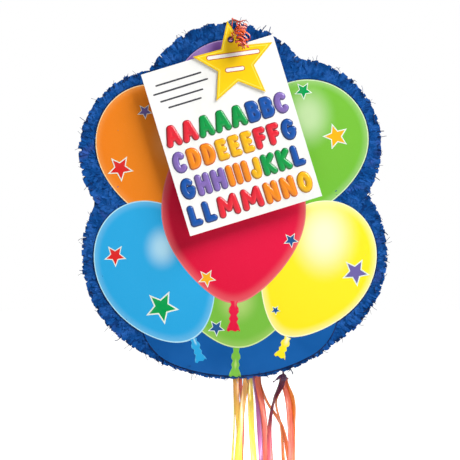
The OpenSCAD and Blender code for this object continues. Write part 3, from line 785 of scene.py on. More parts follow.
def balloon_material(name):
    """Ink of one printed balloon, with its highlight."""
    x, z, size, band = SHINE[name]
    return finish(name.replace("_", " ") + " balloon ink", balloon_effect(), {
        "Colour": INKS[name], "Deep": DEEPS[name], "Glow": GLOWS[name], "Line": LINES[name],
        "Glow place": (x, z, 0), "Glow size": size, "Band": band}, 0.03, 0.0001, Roughness=0.38,
        Specular_IOR_Level=0.1)


def flat_ink(name, colour, second=None):
    """Printed ink: one colour with a faint drift towards a second."""
    second = second or tuple(np.clip(np.array(colour) * 0.85 + 0.03, 0, 1))
    return mottled(name, colour, second, 60.0, 1400.0, 0.5, 0.03, 0.0001, Roughness=0.4,
                   Specular_IOR_Level=0.1)


def film_material(name, bump=0.12, coat=0.3):
    """Plastic ribbon film in one of the FILMS colours."""
    colour, pale, end = FILMS[name]
    return finish(name + " ribbon film", film_effect(), {"Colour": colour, "Pale": pale, "End": end}, bump,
                  0.0002, Coat_Weight=coat)


def floor_material():
    """White floor that glows more the farther it is from the middle, so that it meets the backdrop
    without an edge, and is clear from below."""
    material = mottled("studio white", ink(214, 214, 212), ink(210, 210, 208), 2.0, 200.0, 1.0, 0.01, 0.0001,
                       Roughness=0.9)
    tree = material.node_tree
    shader = tree.nodes["Principled BSDF"]
    place = add(tree, "TexCoord").outputs["Object"]
    away = add(tree, "VectorMath", {0: place}, operation="LENGTH").outputs["Value"]
    behind = add(tree, "SeparateXYZ", {0: place}).outputs[1]
    glow = math(tree, "MAXIMUM", ramp(tree, away, 2.0, 3.2), ramp(tree, behind, 0.5, 1.3))
    tree.links.new(add(tree, "CombineColor", {0: glow, 1: glow, 2: glow}).outputs[0],
                   shader.inputs["Emission Color"])
    shader.inputs["Emission Strength"].default_value = 1.0
    below = add(tree, "NewGeometry").outputs["Backfacing"]
    tree.links.new(math(tree, "SUBTRACT", 1.0, below), shader.inputs["Alpha"])
    return material


def card_material():
    """Brown uncoated card."""
    return mottled("brown card", ink(190, 150, 105), ink(168, 128, 86), 90.0, 1200.0, 0.8, 0.3, 0.0003,
                   Roughness=0.9)


# ---------------------------------------------------------------- operators

def give_look(node, material):
    """Give a kept CAD node its one material."""
    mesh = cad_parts[node].data
    mesh.materials.clear()
    mesh.materials.append(material)


def ribbon_route(top, row):
    """The points of a hanging ribbon: its upper end, then x at each level, with y moving evenly
    from where it leaves to its end."""
    _, y0, y1, xs, _ = row
    share = np.linspace(0, 1, len(LEVELS))
    return np.concatenate([[[xs[0], y0, top]], np.stack([xs, y0 + (y1 - y0) * share, LEVELS], 1)])


def hang_ribbon(name, node, body, top, row):
    """A hanging ribbon: film on its route."""
    sizes = bpy.context.scene.pinata_sizes
    colour, turn = row[0], row[4]
    line = smooth_route(ribbon_route(top, row), 72)
    share = np.linspace(0, 1, len(line))
    sway = np.interp(share, [0, 0.12, 0.3, 0.55, 1], [0, turn[0], turn[1], turn[2], 0])
    film = ribbon(line, sizes.ribbon_width / MM, 0.14, sway, 0.5)
    piece = make_piece(name, [film], [film_material(colour)], body, [node])
    path = smooth_route(ribbon_route(top, row), 25) * MM
    return piece


class PINATA_OT_camera(bpy.types.Operator):
    """Place the camera straight in front of the drum"""
    bl_idname = "pinata.camera"
    bl_label = "Camera"

    def execute(self, context):
        data = bpy.data.cameras.new("camera")
        data.lens = CAMERA_LENS
        data.clip_end = 50
        camera = bpy.data.objects.new("camera", data)
        camera.location = CAMERA_AT
        camera.rotation_euler = (np.pi / 2, 0, 0)
        context.scene.collection.objects.link(camera)
        context.scene.camera = camera
        return {"FINISHED"}


class PINATA_OT_ribbons(bpy.types.Operator):
    """Hang the decoy ribbons and the release ribbons under the drum"""
    bl_idname = "pinata.ribbons"
    bl_label = "Hanging ribbons"

    def execute(self, context):
        for i, row in enumerate(DECOYS, 1):
            hang_ribbon(f"decoy_film_{i}", f"decoy_ribbon_{i}", f"decoy_{i}", TAIL, row)
        for i, row in enumerate(RELEASES, 1):
            hang_ribbon(f"release_film_{i}", f"release_ribbon_{i}", "release", TIE_BOTTOM, row)
        return {"FINISHED"}


class PINATA_OT_card(bpy.types.Operator):
    """Give the card, tape, hanger and other kept parts their finish"""
    bl_idname = "pinata.card"
    bl_label = "Card, tape and hanger"

    def execute(self, context):
        card = card_material()
        tab = mottled("grey card", ink(206, 190, 158), ink(186, 168, 134), 70.0, 1500.0, 0.8, 0.25, 0.0002,
                      Roughness=0.9)
        tape = mottled("paper tape", ink(222, 212, 184), ink(204, 190, 156), 200.0, 1800.0, 0.7, 0.35,
                       0.0003, Roughness=0.7)
        clear = mottled("clear plastic", ink(236, 244, 250), ink(220, 234, 246), 60.0, 500.0, 1.0, 0.05,
                        0.0002, Transmission_Weight=0.85, Roughness=0.12)
        wire = mottled("staple wire", ink(196, 198, 202), ink(160, 162, 168), 400.0, 3000.0, 1.0, 0.1,
                       0.0001, Metallic=1.0, Roughness=0.3)
        knot = film_material("redorange")
        glue = mottled("glue", ink(226, 220, 196), ink(206, 198, 170), 150.0, 700.0, 1.0, 0.2, 0.0003,
                       Roughness=0.3)
        looks = {
            card: ["front_panel", "back_panel", "fill_door", "trap_door", "wall_top", "wall_bottom",
                   "wall_upper_left", "wall_lower_left", "wall_lower_right", "wall_upper_right"],
            tab: ["glue_tabs_front", "glue_tabs_back", "hanger_plate", "release_washer"],
            tape: ["fill_hinge_upper", "fill_hinge_lower", "fill_tab", "trap_hinge_fixed",
                   "trap_hinge_moving"],
            clear: ["hang_ring"], wire: ["tie_staple"], knot: ["release_knot"], glue: ["glue_dot"],
        }
        for material, nodes in looks.items():
            for node in nodes:
                give_look(node, material)
        return {"FINISHED"}


class PINATA_OT_border_fringe(bpy.types.Operator):
    """Glue cut tissue round the edge of the front, with its tips past the card"""
    bl_idname = "pinata.border_fringe"
    bl_label = "Fringe round the front"

    def execute(self, context):
        sizes = context.scene.pinata_sizes
        rng = np.random.default_rng(SEED)
        width = sizes.strip_width / MM
        angles = np.arange(360.0)
        shapes = [polar_plate(polar(angles, outline_reach(angles, -2.5)) + MIDDLE, MIDDLE, -36, FRONT, 3)]
        for row in range(RIM_ROWS):
            angles = arc_places(outline_reach, width * 0.6) + rng.uniform(-0.3, 0.3)
            spread = 0.8 if row == 0 else 3
            inner = outline_reach(angles) - RIM_RUN - RIM_STEP * row
            inner = inner + rng.uniform(-spread, spread, len(angles))
            keep = inner + RIM_RUN > print_reach(angles) - 3
            angles, inner = angles[keep], inner[keep]
            jitter = 0.25 if row == 0 else 0.9
            out = unit(outward(outline_reach, angles) + rng.normal(0, jitter, (len(angles), 2)))
            root = in_space(polar(angles) * inner[:, None] + MIDDLE, -35.8 - 0.08 * row)
            run = RIM_RUN + rng.uniform(-1.5, 0.8, len(angles))
            under = inner < print_reach(angles) + 6
            bend = np.where(under | (row > 0), 0.03, rng.uniform(0.05, 0.3, len(angles)))
            wide = width * rng.uniform(1.2, 2.6, len(angles))
            shapes.append(tissue_strips(root, in_space(out, 0.0), in_space(out * 0, -1.0), run, wide, bend,
                                        rng, 0.15))
        angles = arc_places(outline_reach, 7.0)
        angles = angles + rng.uniform(-2.4, 2.4, len(angles))
        out = unit(outward(outline_reach, angles) + rng.normal(0, 0.6, (len(angles), 2)))
        root = in_space(polar(angles) * (outline_reach(angles) - 4)[:, None] + MIDDLE, -37)
        tufts = tissue_strips(root, in_space(out, 0.1), in_space(np.stack([out[:, 1], -out[:, 0]], 1), -0.3),
                              rng.uniform(4, 13, len(angles)), rng.uniform(1.4, 3.0, len(angles)),
                              rng.normal(0, 0.9, len(angles)), rng)
        tufts["ink"] = 1
        shapes.append(tufts)
        make_piece("front_fringe", shapes, [tissue_material(), tuft_material()], "drum",
                   ["border_fringe"], smooth=False)
        return {"FINISHED"}


def side_strips(angles, start, stop, rng, bend):
    """Strips round the side, rooted at y = start and pointing back to y = stop."""
    sizes = bpy.context.scene.pinata_sizes
    width = sizes.strip_width / MM * 1.35
    normal = in_space(outward(card_reach, angles), 0.0)
    root = in_space(polar(angles) * (card_reach(angles) + 0.5)[:, None] + MIDDLE, start)
    tangent = np.cross(normal, [0, 1.0, 0])
    out = np.array([0, 1.0, 0]) + tangent * rng.normal(0, 0.14, len(angles))[:, None] + normal * 0.05
    return tissue_strips(root, out, normal, stop - start, width, bend, rng)


def floor_angle(angles):
    """Angle from straight down, about the floor's centre, of the card's edge at angles from MIDDLE."""
    at = polar(angles) * card_reach(angles)[:, None] + MIDDLE - DRUM - FLOOR[:2]
    down = np.degrees(np.arctan2(at[:, 0], -at[:, 1]))
    return np.where(at[:, 1] < 0, down, 999)


def base_band(row):
    """The uncut part of a row of tissue, flat on the card: a thin strip whose section is carried
    round the outline, narrowed beside the trap door and the hanging ring, and open across the door
    where the row lies wholly on it."""
    angles = np.arange(-70.0, 290.0, 0.5)
    a, b = FRONT + ROW * row, FRONT + ROW * (row + 1)
    down = floor_angle(angles)
    door = (down > DOOR[0] - 1) & (down < DOOR[1] + 3.6)
    ring = np.abs(angles - 90) < 3
    start = np.where(ring & (a >= 0) & (a < RING_CLEAR), RING_CLEAR,
                     np.where(door & (a > 0), max(a, DOOR_CLEAR), a))
    stop = np.where(ring & (b <= 0) & (b > -RING_CLEAR), -RING_CLEAR,
                    np.where(door & (b < 0), min(b, -DOOR_CLEAR), b))
    closed = a < -DOOR_CLEAR or b > DOOR_CLEAR
    keep = np.ones(len(angles), bool) if closed else ~door
    first = 0 if closed else np.flatnonzero(door)[-1] + 1
    order = np.roll(np.arange(len(angles)), -first)
    order = order[keep[order]]
    angles, start, stop = angles[order], start[order], stop[order]
    low, high = (polar(angles) * outline_reach(angles, -CARD_IN + g)[:, None] + MIDDLE for g in (0.1, 0.5))
    rings = np.stack([in_space(high, start), in_space(high, stop), in_space(low, stop),
                      in_space(low, start)], 1)
    if closed:
        rings = np.concatenate([rings, rings[:1]])
    faces = [grid_quads(len(rings), 4, True)]
    if not closed:
        faces += [np.array([[3, 2, 1, 0]]), np.array([[0, 1, 2, 3]]) + (len(rings) - 1) * 4]
    return shape(rings, faces, shade=0.3)


class PINATA_OT_side_fringe(bpy.types.Operator):
    """Wind four rows of cut tissue round the side, parted round the trap door and the hanging ring"""
    bl_idname = "pinata.side_fringe"
    bl_label = "Fringe round the side"

    def execute(self, context):
        sizes = context.scene.pinata_sizes
        rng = np.random.default_rng(SEED + 1)
        pitch = sizes.strip_width / MM * 0.62
        for row in range(SIDE_ROWS):
            angles = arc_places(card_reach, pitch)
            angles = angles + rng.uniform(-0.25, 0.25, len(angles))
            start = FRONT + ROW * row + rng.uniform(0, 1.2, len(angles))
            stop = start + SIDE_RUN + rng.uniform(-3, 2, len(angles))
            stop = np.minimum(stop, BACK + 3)
            down = floor_angle(angles)
            door = (down > DOOR[0] - 1.2) & (down < DOOR[1] + 3.8)
            stop = np.where(door & (start < -25), np.minimum(stop, -DOOR_CLEAR), stop)
            start = np.where(door & (start > 0) & (stop > DOOR_CLEAR), np.maximum(start, DOOR_CLEAR), start)
            ring = np.abs(angles - 90) < 3.2
            stop = np.where(ring & (start < -5), np.minimum(stop, -RING_CLEAR), stop)
            start = np.where(ring & (start > -5) & (start < 5), RING_CLEAR, start)
            keep = (stop - start > 5) & ~(door & (start < 25.5) & (stop > -25.5))
            bend = rng.uniform(0.15, sizes.strip_lift, len(angles))
            strips = side_strips(angles[keep], start[keep], stop[keep], rng, bend[keep])
            make_piece(f"side_tissue_{row + 1}", [strips, base_band(row)], [tissue_material()], "drum",
                       [f"side_fringe_{row + 1}"], smooth=False)
        down = np.arange(DOOR[0] + 0.8, DOOR[1] - 3.4, 0.36)
        shapes = []
        for start in (-23.5, -9.0, 5.5):
            a = down + rng.uniform(-0.1, 0.1, len(down))
            at = polar(a - 90, FLOOR[2] - CARD_IN) + DRUM + FLOOR[:2] - MIDDLE
            angles = np.degrees(np.arctan2(at[:, 1], at[:, 0])) % 360
            clear = ~((a < 22.0) & (np.abs(start + 8) < 17))
            begin = np.full(len(a), start) + rng.uniform(0, 1, len(a))
            end = begin + 17 + rng.uniform(-2, 1, len(a))
            shapes.append(side_strips(angles[clear], begin[clear], end[clear], rng,
                                      rng.uniform(0.1, 0.4, len(a))[clear]))
        make_piece("trap_tissue", shapes, [tissue_material()], "trap", ["trap_fringe"],
                   smooth=False)
        return {"FINISHED"}


def back_bands():
    """The uncut tissue behind the strips: level bands across the back, each cut off at the card's
    edge and at the fill door's window."""
    half, bottom, head = WINDOW
    edge = np.arange(0, 360, 0.25)
    line = polar(edge, outline_reach(edge, -CARD_IN - 0.5)) + MIDDLE
    z = np.arange(-450.0, -8.5, 3.0)
    shapes = []
    cols = 9
    for side in (-1, 1):
        near = (np.abs(line[:, 1] - z[:, None]) < 2.2) & (line[:, 0] * side > 0)
        rim = np.where(near, np.abs(line[:, 0]), 0).max(1)
        inner = np.where((z > bottom - 1) & (z < head + 1), half, 0)
        share = np.linspace(0, 1, cols)
        x = side * (inner[:, None] + (rim - inner)[:, None] * share)
        flat = np.stack([x, np.broadcast_to(z[:, None], x.shape)], -1)
        m = x.size
        quads = grid_quads(len(z), cols)
        ring = np.concatenate([np.arange(cols), cols * np.arange(1, len(z)) + cols - 1,
                               m - 2 - np.arange(cols - 1), cols * np.arange(len(z) - 2, 0, -1)])
        nxt = np.roll(ring, -1)
        wall = np.stack([ring, nxt, nxt + m, ring + m], -1)
        turn = slice(None, None, side)
        faces = [quads[:, turn], (quads + m)[:, ::-1][:, turn], wall[:, turn]]
        points = np.concatenate([in_space(flat, BACK + 0.3), in_space(flat, BACK + 0.05)])
        shapes.append(shape(points, faces, shade=0.3))
    return shapes


class PINATA_OT_back_fringe(bpy.types.Operator):
    """Hang rows of cut tissue down the back and on the fill door"""
    bl_idname = "pinata.back_fringe"
    bl_label = "Fringe on the back"

    def execute(self, context):
        sizes = context.scene.pinata_sizes
        rng = np.random.default_rng(SEED + 2)
        width = sizes.strip_width / MM
        shapes = []
        for row in range(BACK_ROWS):
            x = np.arange(-200, 200, width * 0.55)
            x = x + rng.uniform(-0.8, 0.8, len(x))
            top = np.full(len(x), BACK_TOP - BACK_STEP * row) + rng.uniform(-1, 1, len(x))
            low = top - BACK_RUN + rng.uniform(-3, 3, len(x))
            top = np.where(past_outline(np.stack([x, top], 1), -CARD_IN) > 0, top - 14, top)
            keep = past_outline(np.stack([x, top], 1), -CARD_IN) < 0
            half, bottom, head = WINDOW
            beside = np.abs(x) < half
            low = np.where(beside & (top > head), np.maximum(low, head + HINGE_GAP), low)
            top = np.where(beside & (top <= head) & (top > bottom), bottom, top)
            over = past_outline(np.stack([x, low], 1))
            low = np.where((over > 0) & (low < MIDDLE[1]), low + over, low)
            keep &= (top - low) > 6
            root = np.stack([x, np.full(len(x), BACK + TISSUE_OFF), top], 1)[keep]
            out = np.stack([rng.normal(0, 0.1, len(x)), np.full(len(x), 0.04), -np.ones(len(x))], 1)[keep]
            lift = np.tile([0, 1.0, 0], (keep.sum(), 1))
            bend = rng.uniform(0.02, 0.22, keep.sum())
            shapes.append(tissue_strips(root, out, lift, (top - low)[keep], width * 1.6, bend, rng, 0.2))
        shapes += back_bands()
        make_piece("back_tissue", shapes, [tissue_material()], "drum", ["back_fringe"],
                   smooth=False)
        shapes = []
        for top in (-132.0, -141.0, -150.0):
            x = np.arange(-43, 43, width * 0.55)
            x = x + rng.uniform(-0.6, 0.6, len(x))
            root = np.stack([x, np.full(len(x), BACK + TISSUE_OFF), top + rng.uniform(-0.6, 0.6, len(x))], 1)
            out = np.stack([rng.normal(0, 0.08, len(x)), np.full(len(x), 0.05), -np.ones(len(x))], 1)
            lift = np.tile([0, 1.0, 0], (len(x), 1))
            shapes.append(tissue_strips(root, out, lift, rng.uniform(18, 21, len(x)), width * 1.3,
                                        rng.uniform(0.02, 0.3, len(x)), rng))
        make_piece("fill_tissue", shapes, [tissue_material()], "fill_flap", ["fill_fringe"],
                   smooth=False)
        return {"FINISHED"}


class PINATA_OT_print(bpy.types.Operator):
    """Print the balloons, their necks and the stars on the front sheet"""
    bl_idname = "pinata.print"
    bl_label = "Printed front"

    def execute(self, context):
        ground = context.scene.pinata_colours.print_ground
        angles = np.linspace(0, 360, 720, endpoint=False)
        outline = polar(angles, print_reach(angles)) + MIDDLE
        materials = [mottled("print ground", tuple(ground), ink(24, 98, 174), 14.0, 1400.0, 0.7, 0.03,
                             0.0001, Roughness=0.4, Specular_IOR_Level=0.1),
                     flat_ink("pale star edge", ink(234, 244, 232)),
                     flat_ink("print shadow", ink(8, 34, 84))]
        # A dark navy band, 1.5 mm wider than the sheet and just behind it, is painted shadow round its edge
        wider = polar(angles, print_reach(angles) + 1.5) + MIDDLE
        shapes = [polar_plate(outline, MIDDLE, PRINT, PRINT + 1, 6, 0),
                  polar_plate(wider, MIDDLE, PRINT + 0.5, PRINT + 1.1, 2, 2)]
        y = PRINT
        for name in BALLOONS:
            y -= INK_STEP
            x, z = BALLOONS[name][:2]
            shapes.append(polar_plate(balloon_outline(name), np.array([x, z]), y, PRINT + INK_BACK, 14,
                                      len(materials)))
            materials.append(balloon_material(name))
            for x0, z0, x1, z1, half, owner in NECKS:
                if owner == name:
                    shapes.append(neck_shape(x0, z0, x1, z1, half, y - 0.02, len(materials) - 1))
        slots = {}
        for x, z, radius, tip, colour in STARS:
            if colour not in slots:
                slots[colour] = len(materials)
                materials.append(flat_ink(colour + " star ink", STAR_INKS[colour]))
            at = np.array([x, z])
            shapes.append(polar_plate(star_outline(at, radius, tip), at, y - 0.03, PRINT + INK_BACK, 1, 1))
            shapes.append(polar_plate(star_outline(at, radius * 0.8, tip), at, y - 0.05, PRINT + INK_BACK,
                                      1, slots[colour]))
        make_piece("balloon_print", shapes, materials, "drum", ["front_print"], smooth=False)
        return {"FINISHED"}


def neck_shape(x0, z0, x1, z1, half, y, slot):
    """A balloon's tied neck, drawn flat: its half width along the line from its top to its end
    narrows to the knot, swells, narrows again and flares into a wavy hem."""
    start, end = np.array([x0, z0], float), np.array([x1, z1], float)
    rows, cols = 40, 7
    s = np.linspace(0, 1, rows)
    swell = np.interp(s, [0, 0.14, 0.24, 0.36, 0.46, 0.6, 0.7, 0.86, 1],
                      [0.55, 0.42, 0.7, 0.75, 0.45, 0.7, 0.5, 0.85, 1.0]) * half
    along = unit(end - start)
    across = np.array([-along[1], along[0]])
    line = start + (end - start) * s[:, None]
    u = np.linspace(-1, 1, cols)
    flat = line[:, None] + across * (u[:, None] * swell[:, None, None])
    hem = np.where(s[:, None] == 1, 1.2 * np.sin(u * 7)[None], 0)
    flat = flat + along * hem[..., None]
    fold = np.abs(np.sin(s * 16))[:, None] * 0.3 + np.abs(u)[None] * 0.9
    points = in_space(flat, y)
    uv = np.stack(np.broadcast_arrays(u[None] * 0.7, 0.4 - 1.4 * s[:, None]), -1)
    return shape(points, [grid_quads(rows, cols)], uv, fold.ravel().clip(0, 0.97), slot)


def sheet_bow(u, v):
    """How far the sticker sheet stands forward at u across and v up, from -1 to 1: it curls at the
    lower corners, as u squared times the square of the share below the middle."""
    return 2.6 * u ** 2 * np.clip(-v, 0, 1) ** 2 + 0.5 * u ** 4


def on_sheet(u, v, off=0.0):
    """Points of the sheet at u and v in millimetres from its middle, off it by a distance."""
    flat = turned(np.stack(np.broadcast_arrays(u, v), -1), SHEET_LEAN) + SHEET_MIDDLE
    y = SHEET_FACE - sheet_bow(u / SHEET_SIZE[0] * 2, v / SHEET_SIZE[1] * 2) - off
    return in_space(flat, y)


class PINATA_OT_sheet(bpy.types.Operator):
    """Make the sticker sheet, with plain rules where words would be"""
    bl_idname = "pinata.sheet"
    bl_label = "Sticker sheet"

    def execute(self, context):
        rows, cols = 37, 31
        m = rows * cols
        u = np.linspace(-1, 1, cols)[None] * SHEET_SIZE[0] / 2
        v = np.linspace(-1, 1, rows)[:, None] * SHEET_SIZE[1] / 2
        face, back = on_sheet(u, v), on_sheet(u, v, -0.35)
        quads = grid_quads(rows, cols)
        j, i = np.arange(cols), np.arange(rows) * cols
        loop = np.concatenate([j[:-1], i[:-1] + cols - 1, (m - cols + j)[:0:-1], i[:0:-1]])
        nxt = np.roll(loop, -1)
        rim = np.stack([loop, nxt, nxt + m, loop + m], -1)
        shapes = [shape(np.concatenate([face.reshape(-1, 3), back.reshape(-1, 3)]),
                        [quads[:, ::-1], quads + m, rim[:, ::-1]])]
        for x, z, length in SHEET_RULES:
            at = turned(np.array([[x, z]]) - SHEET_MIDDLE, -SHEET_LEAN)[0]
            local = bar_outline(0, 0, length, 2.2, 0.0) + at
            points = on_sheet(local[:, 0], local[:, 1], 0.04)
            shapes.append(shape(points, [np.arange(len(points))[None]], ink_slot=1))
        materials = [mottled("coated paper", ink(250, 250, 248), ink(244, 244, 240), 30.0, 1600.0, 0.6, 0.04,
                             0.0001, Roughness=0.45), flat_ink("grey rule ink", ink(70, 70, 76))]
        make_piece("sheet_paper", shapes, materials, "tag", ["sticker_sheet"], smooth=False)
        return {"FINISHED"}


# Letters as strokes in a unit box: straight ones are the two ends' x and z, and round ones are a
# middle, half sizes, and the angles that they run between
STROKES = {
    "A": [(0, 0, 0.42, 1), (0.58, 1, 1, 0), (0.42, 1, 0.58, 1), (0.25, 0.34, 0.75, 0.34)],
    "B": [(0, 0, 0, 1), (0, 1, 0.5, 1), (0, 0.54, 0.6, 0.54), (0, 0, 0.6, 0),
          (0.5, 0.77, 0.4, 0.23, 90, -90), (0.6, 0.27, 0.4, 0.27, 90, -90)],
    "C": [(0.55, 0.5, 0.55, 0.5, 52, 308)],
    "D": [(0, 0, 0, 1), (0, 1, 0.35, 1), (0, 0, 0.35, 0), (0.35, 0.5, 0.65, 0.5, 90, -90)],
    "E": [(0, 0, 0, 1), (0, 1, 1, 1), (0, 0.52, 0.8, 0.52), (0, 0, 1, 0)],
    "F": [(0, 0, 0, 1), (0, 1, 1, 1), (0, 0.5, 0.8, 0.5)],
    "G": [(0.5, 0.5, 0.5, 0.5, 50, 330), (0.6, 0.42, 1, 0.42)],
    "H": [(0, 0, 0, 1), (1, 0, 1, 1), (0, 0.5, 1, 0.5)],
    "I": [(0.5, 0, 0.5, 1)],
    "J": [(1, 1, 1, 0.3), (0.5, 0.3, 0.5, 0.3, 0, -170)],
    "K": [(0, 0, 0, 1), (0, 0.45, 1, 1), (0.25, 0.55, 1, 0)],
    "L": [(0, 0, 0, 1), (0, 0, 1, 0)],
    "M": [(0, 0, 0.08, 1), (0.08, 1, 0.5, 0.3), (0.5, 0.3, 0.92, 1), (0.92, 1, 1, 0)],
    "N": [(0, 0, 0, 1), (0, 1, 1, 0), (1, 0, 1, 1)],
    "O": [(0.5, 0.5, 0.5, 0.5, 90, 450)],
}


def padded_stroke(stroke, wide, tall, radius, depth, lie):
    """A padded stroke: rings square to its middle line, whose radius falls to nothing as a half circle
    past each end. A ring's height is the depth times the sine of its angle to the power 0.4, which
    makes a flat top, and lie lays it on the sheet."""
    if len(stroke) == 4:
        line = np.linspace(stroke[:2], stroke[2:], 4)
    else:
        a = np.radians(np.linspace(stroke[4], stroke[5], 18))
        line = np.stack([stroke[0] + stroke[2] * np.cos(a), stroke[1] + stroke[3] * np.sin(a)], 1)
    line = (line - 0.5) * [wide, tall]
    tip = np.sin(np.linspace(0.2, 1, 5) * np.pi / 2)[:, None] * radius
    start, end = unit(line[0] - line[1]), unit(line[-1] - line[-2])
    path = np.concatenate([line[0] + start * tip[::-1], line, line[-1] + end * tip])
    fall = np.sqrt(1 - np.minimum((tip[:, 0] / radius) ** 2, 0.998))
    size = radius * np.concatenate([fall[::-1], np.ones(len(line)), fall])
    along = unit(np.gradient(path, axis=0))
    side = np.stack([-along[:, 1], along[:, 0]], 1)
    sides = 12
    a = np.linspace(0, 2 * np.pi, sides, endpoint=False)
    flat = path[:, None] + side[:, None] * (np.cos(a)[:, None] * size[:, None, None])
    off = depth * np.sign(np.sin(a)) * np.abs(np.sin(a)) ** 0.4 * (size / radius)[:, None] ** 0.5
    cap = np.arange(sides)[None]
    last = (len(path) - 1) * sides
    faces = [grid_quads(len(path), sides, True)[:, ::-1], cap, cap[:, ::-1] + last]
    return lie(flat[..., 0], flat[..., 1], off), faces


class PINATA_OT_stickers(bpy.types.Operator):
    """Set four rows of padded letter stickers on the sheet"""
    bl_idname = "pinata.stickers"
    bl_label = "Letter stickers"

    def execute(self, context):
        depth = context.scene.pinata_sizes.letter_depth / MM
        made = {}
        for j, row in enumerate(STICKER_ROWS):
            letters = [(c, colour) for c, colour, count in row for _ in range(count)]
            widths = np.array([LETTER_W[c] for c, _ in letters])
            gap = (ROW_RIGHT - ROW_LEFT - widths.sum()) / (len(widths) - 1)
            middles = ROW_LEFT + np.cumsum(widths) - widths / 2 + gap * np.arange(len(widths))
            for (letter, colour), wide, u in zip(letters, widths, middles - SHEET_SIZE[0] / 2):
                v = ROW_FIRST - ROW_PITCH * j - SHEET_SIZE[1] / 2
                for slot, radius, thick in ((1, STROKE_EDGE, depth * 0.6), (0, STROKE_TOP, depth)):
                    for stroke in STROKES[letter]:
                        points, faces = padded_stroke(stroke, wide - STROKE_ROOM, LETTER_H - STROKE_ROOM,
                                                      radius, thick,
                                                      lambda x, z, off: on_sheet(x + u, z + v, off))
                        made.setdefault(colour, []).append(shape(points, faces, ink_slot=slot))
        for colour, shapes in made.items():
            body, edge = (
                mottled(colour + name, base, tuple(np.array(base) * dim), 120.0, 1500.0, 0.7, 0.06, 0.0002,
                        Roughness=rough, Coat_Weight=coat)
                for name, base, dim, rough, coat in (
                    (" sticker", STICKER_INKS[colour], 0.9, 0.35, 0.3),
                    (" sticker edge", STICKER_EDGES[colour], 0.85, 0.4, 0.2)))
            make_piece(colour + "_letters", shapes, [body, edge], "tag",
                       ["stickers_" + colour])
        return {"FINISHED"}


def star_band(outer, inner, y, slot):
    """A flat band between two sizes of the star's outline, at y, facing forward."""
    a = star_outline(STAR_MIDDLE, STAR_R, STAR_TIP)
    rings = np.stack([STAR_MIDDLE + (a - STAR_MIDDLE) * outer, STAR_MIDDLE + (a - STAR_MIDDLE) * inner])
    return shape(in_space(rings, y), [grid_quads(2, 10, True)], ink_slot=slot)


class PINATA_OT_star(bpy.types.Operator):
    """Finish the star tag: its card, a printed border, and plain rules where words would be"""
    bl_idname = "pinata.star"
    bl_label = "Star tag"

    def execute(self, context):
        gold = tuple(context.scene.pinata_colours.star)
        give_look("star_tag", mottled("star card", gold, ink(250, 196, 0), 24.0, 1300.0, 0.55, 0.08,
                                      0.0002, Roughness=0.35, Coat_Weight=0.2))
        materials = [flat_ink("star border", ink(255, 236, 92)), flat_ink("star rim", ink(236, 196, 20)),
                     flat_ink("rule edge", ink(196, 96, 60)), flat_ink("rule ink", ink(252, 248, 240))]
        shapes = [star_band(0.995, 0.955, STAR_FACE - 0.03, 1), star_band(0.9, 0.85, STAR_FACE - 0.03, 0)]
        for x, z, length in STAR_RULES:
            for grow, slot, off in ((2.2, 2, 0.05), (0, 3, 0.08)):
                bar = bar_outline(x, z, length + grow, 4.4 + grow, 8.0)
                shapes.append(shape(in_space(bar, STAR_FACE - off), [np.arange(len(bar))[None]],
                                    ink_slot=slot))
        eyelet = polar(np.arange(0, 360, 12.0))[None] * np.array([2.5, 4.3])[:, None, None]
        shapes.append(shape(in_space(eyelet + STAR_MIDDLE + polar(STAR_TIP, EYELET_AT), STAR_FACE - 0.06),
                            [grid_quads(2, 30, True)[:, ::-1]], ink_slot=4))
        materials.append(flat_ink("eyelet", ink(84, 44, 62)))
        make_piece("star_border", shapes, materials, "tag", smooth=False)
        return {"FINISHED"}


class PINATA_OT_tie(bpy.types.Operator):
    """Tie the tag on: its ribbon, loop, knots and the curled bunch, and the release ribbons' tie"""
    bl_idname = "pinata.tie"
    bl_label = "Tie, knots and curls"

    def execute(self, context):
        curling = film_material("redorange")
        pink = film_material("pink", coat=0.6)
        tie = ribbon(smooth_route(TIE_ROUTE, 60), 2.3, 0.8, np.linspace(0, 40, 60), 0.3)
        make_piece("tag_tie", [tie], [curling], "drum", ["tie_ribbon"])
        make_piece("bend_wrap", [wound(BEND, 1.4, 2.6, 2)], [curling], "tie_end",
                   ["bend_knot"])
        make_piece("tag_loop_film", [tube(smooth_route(LOOP_ROUTE, 48), 0.6)], [curling], "tag",
                   ["tag_loop"])
        make_piece("tag_knot_wrap", [wound(TAG_KNOT, 3.5, 6.6, 3)], [curling], "tag",
                   ["tie_knot"])
        make_piece("curl_bunch", curl_shapes(), [curling, pink], "tag", ["ribbon_curls"])
        low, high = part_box("release_tie")
        middle = (np.array(low) + np.array(high)) / 2 / MM
        size = (np.array(high) - np.array(low)) / MM
        purple = film_material("purple", bump=0.15, coat=0.5)
        shapes = [wound(middle - [0, 0, 5], size[0] / 2 + 0.6, size[2], 4),
                  tube(smooth_route([middle + [-1.5, 0, 6.5], middle + [-0.5, 0, 3], middle - [0, 0, 3]],
                                    10), 1.3)]
        for x, reach, turns in ((-9, 8, 1.2), (-14, 11, 0.8), (6, 7, 1.0)):
            s = np.linspace(0, 1, 24)[:, None]
            a = 2 * np.pi * turns * s
            path = middle + [0, -2, 0.5] + s * [x, -1.5, -reach] + 1.8 * np.sin(np.pi * s) * np.concatenate(
                [np.cos(a), np.sin(a), np.sin(a * 1.4)], 1)
            shapes.append(ribbon(path, 1.8, 0.2, 40 * s[:, 0], 0.1))
        make_piece("release_wrap", shapes, [purple], "release", ["release_tie"])
        return {"FINISHED"}


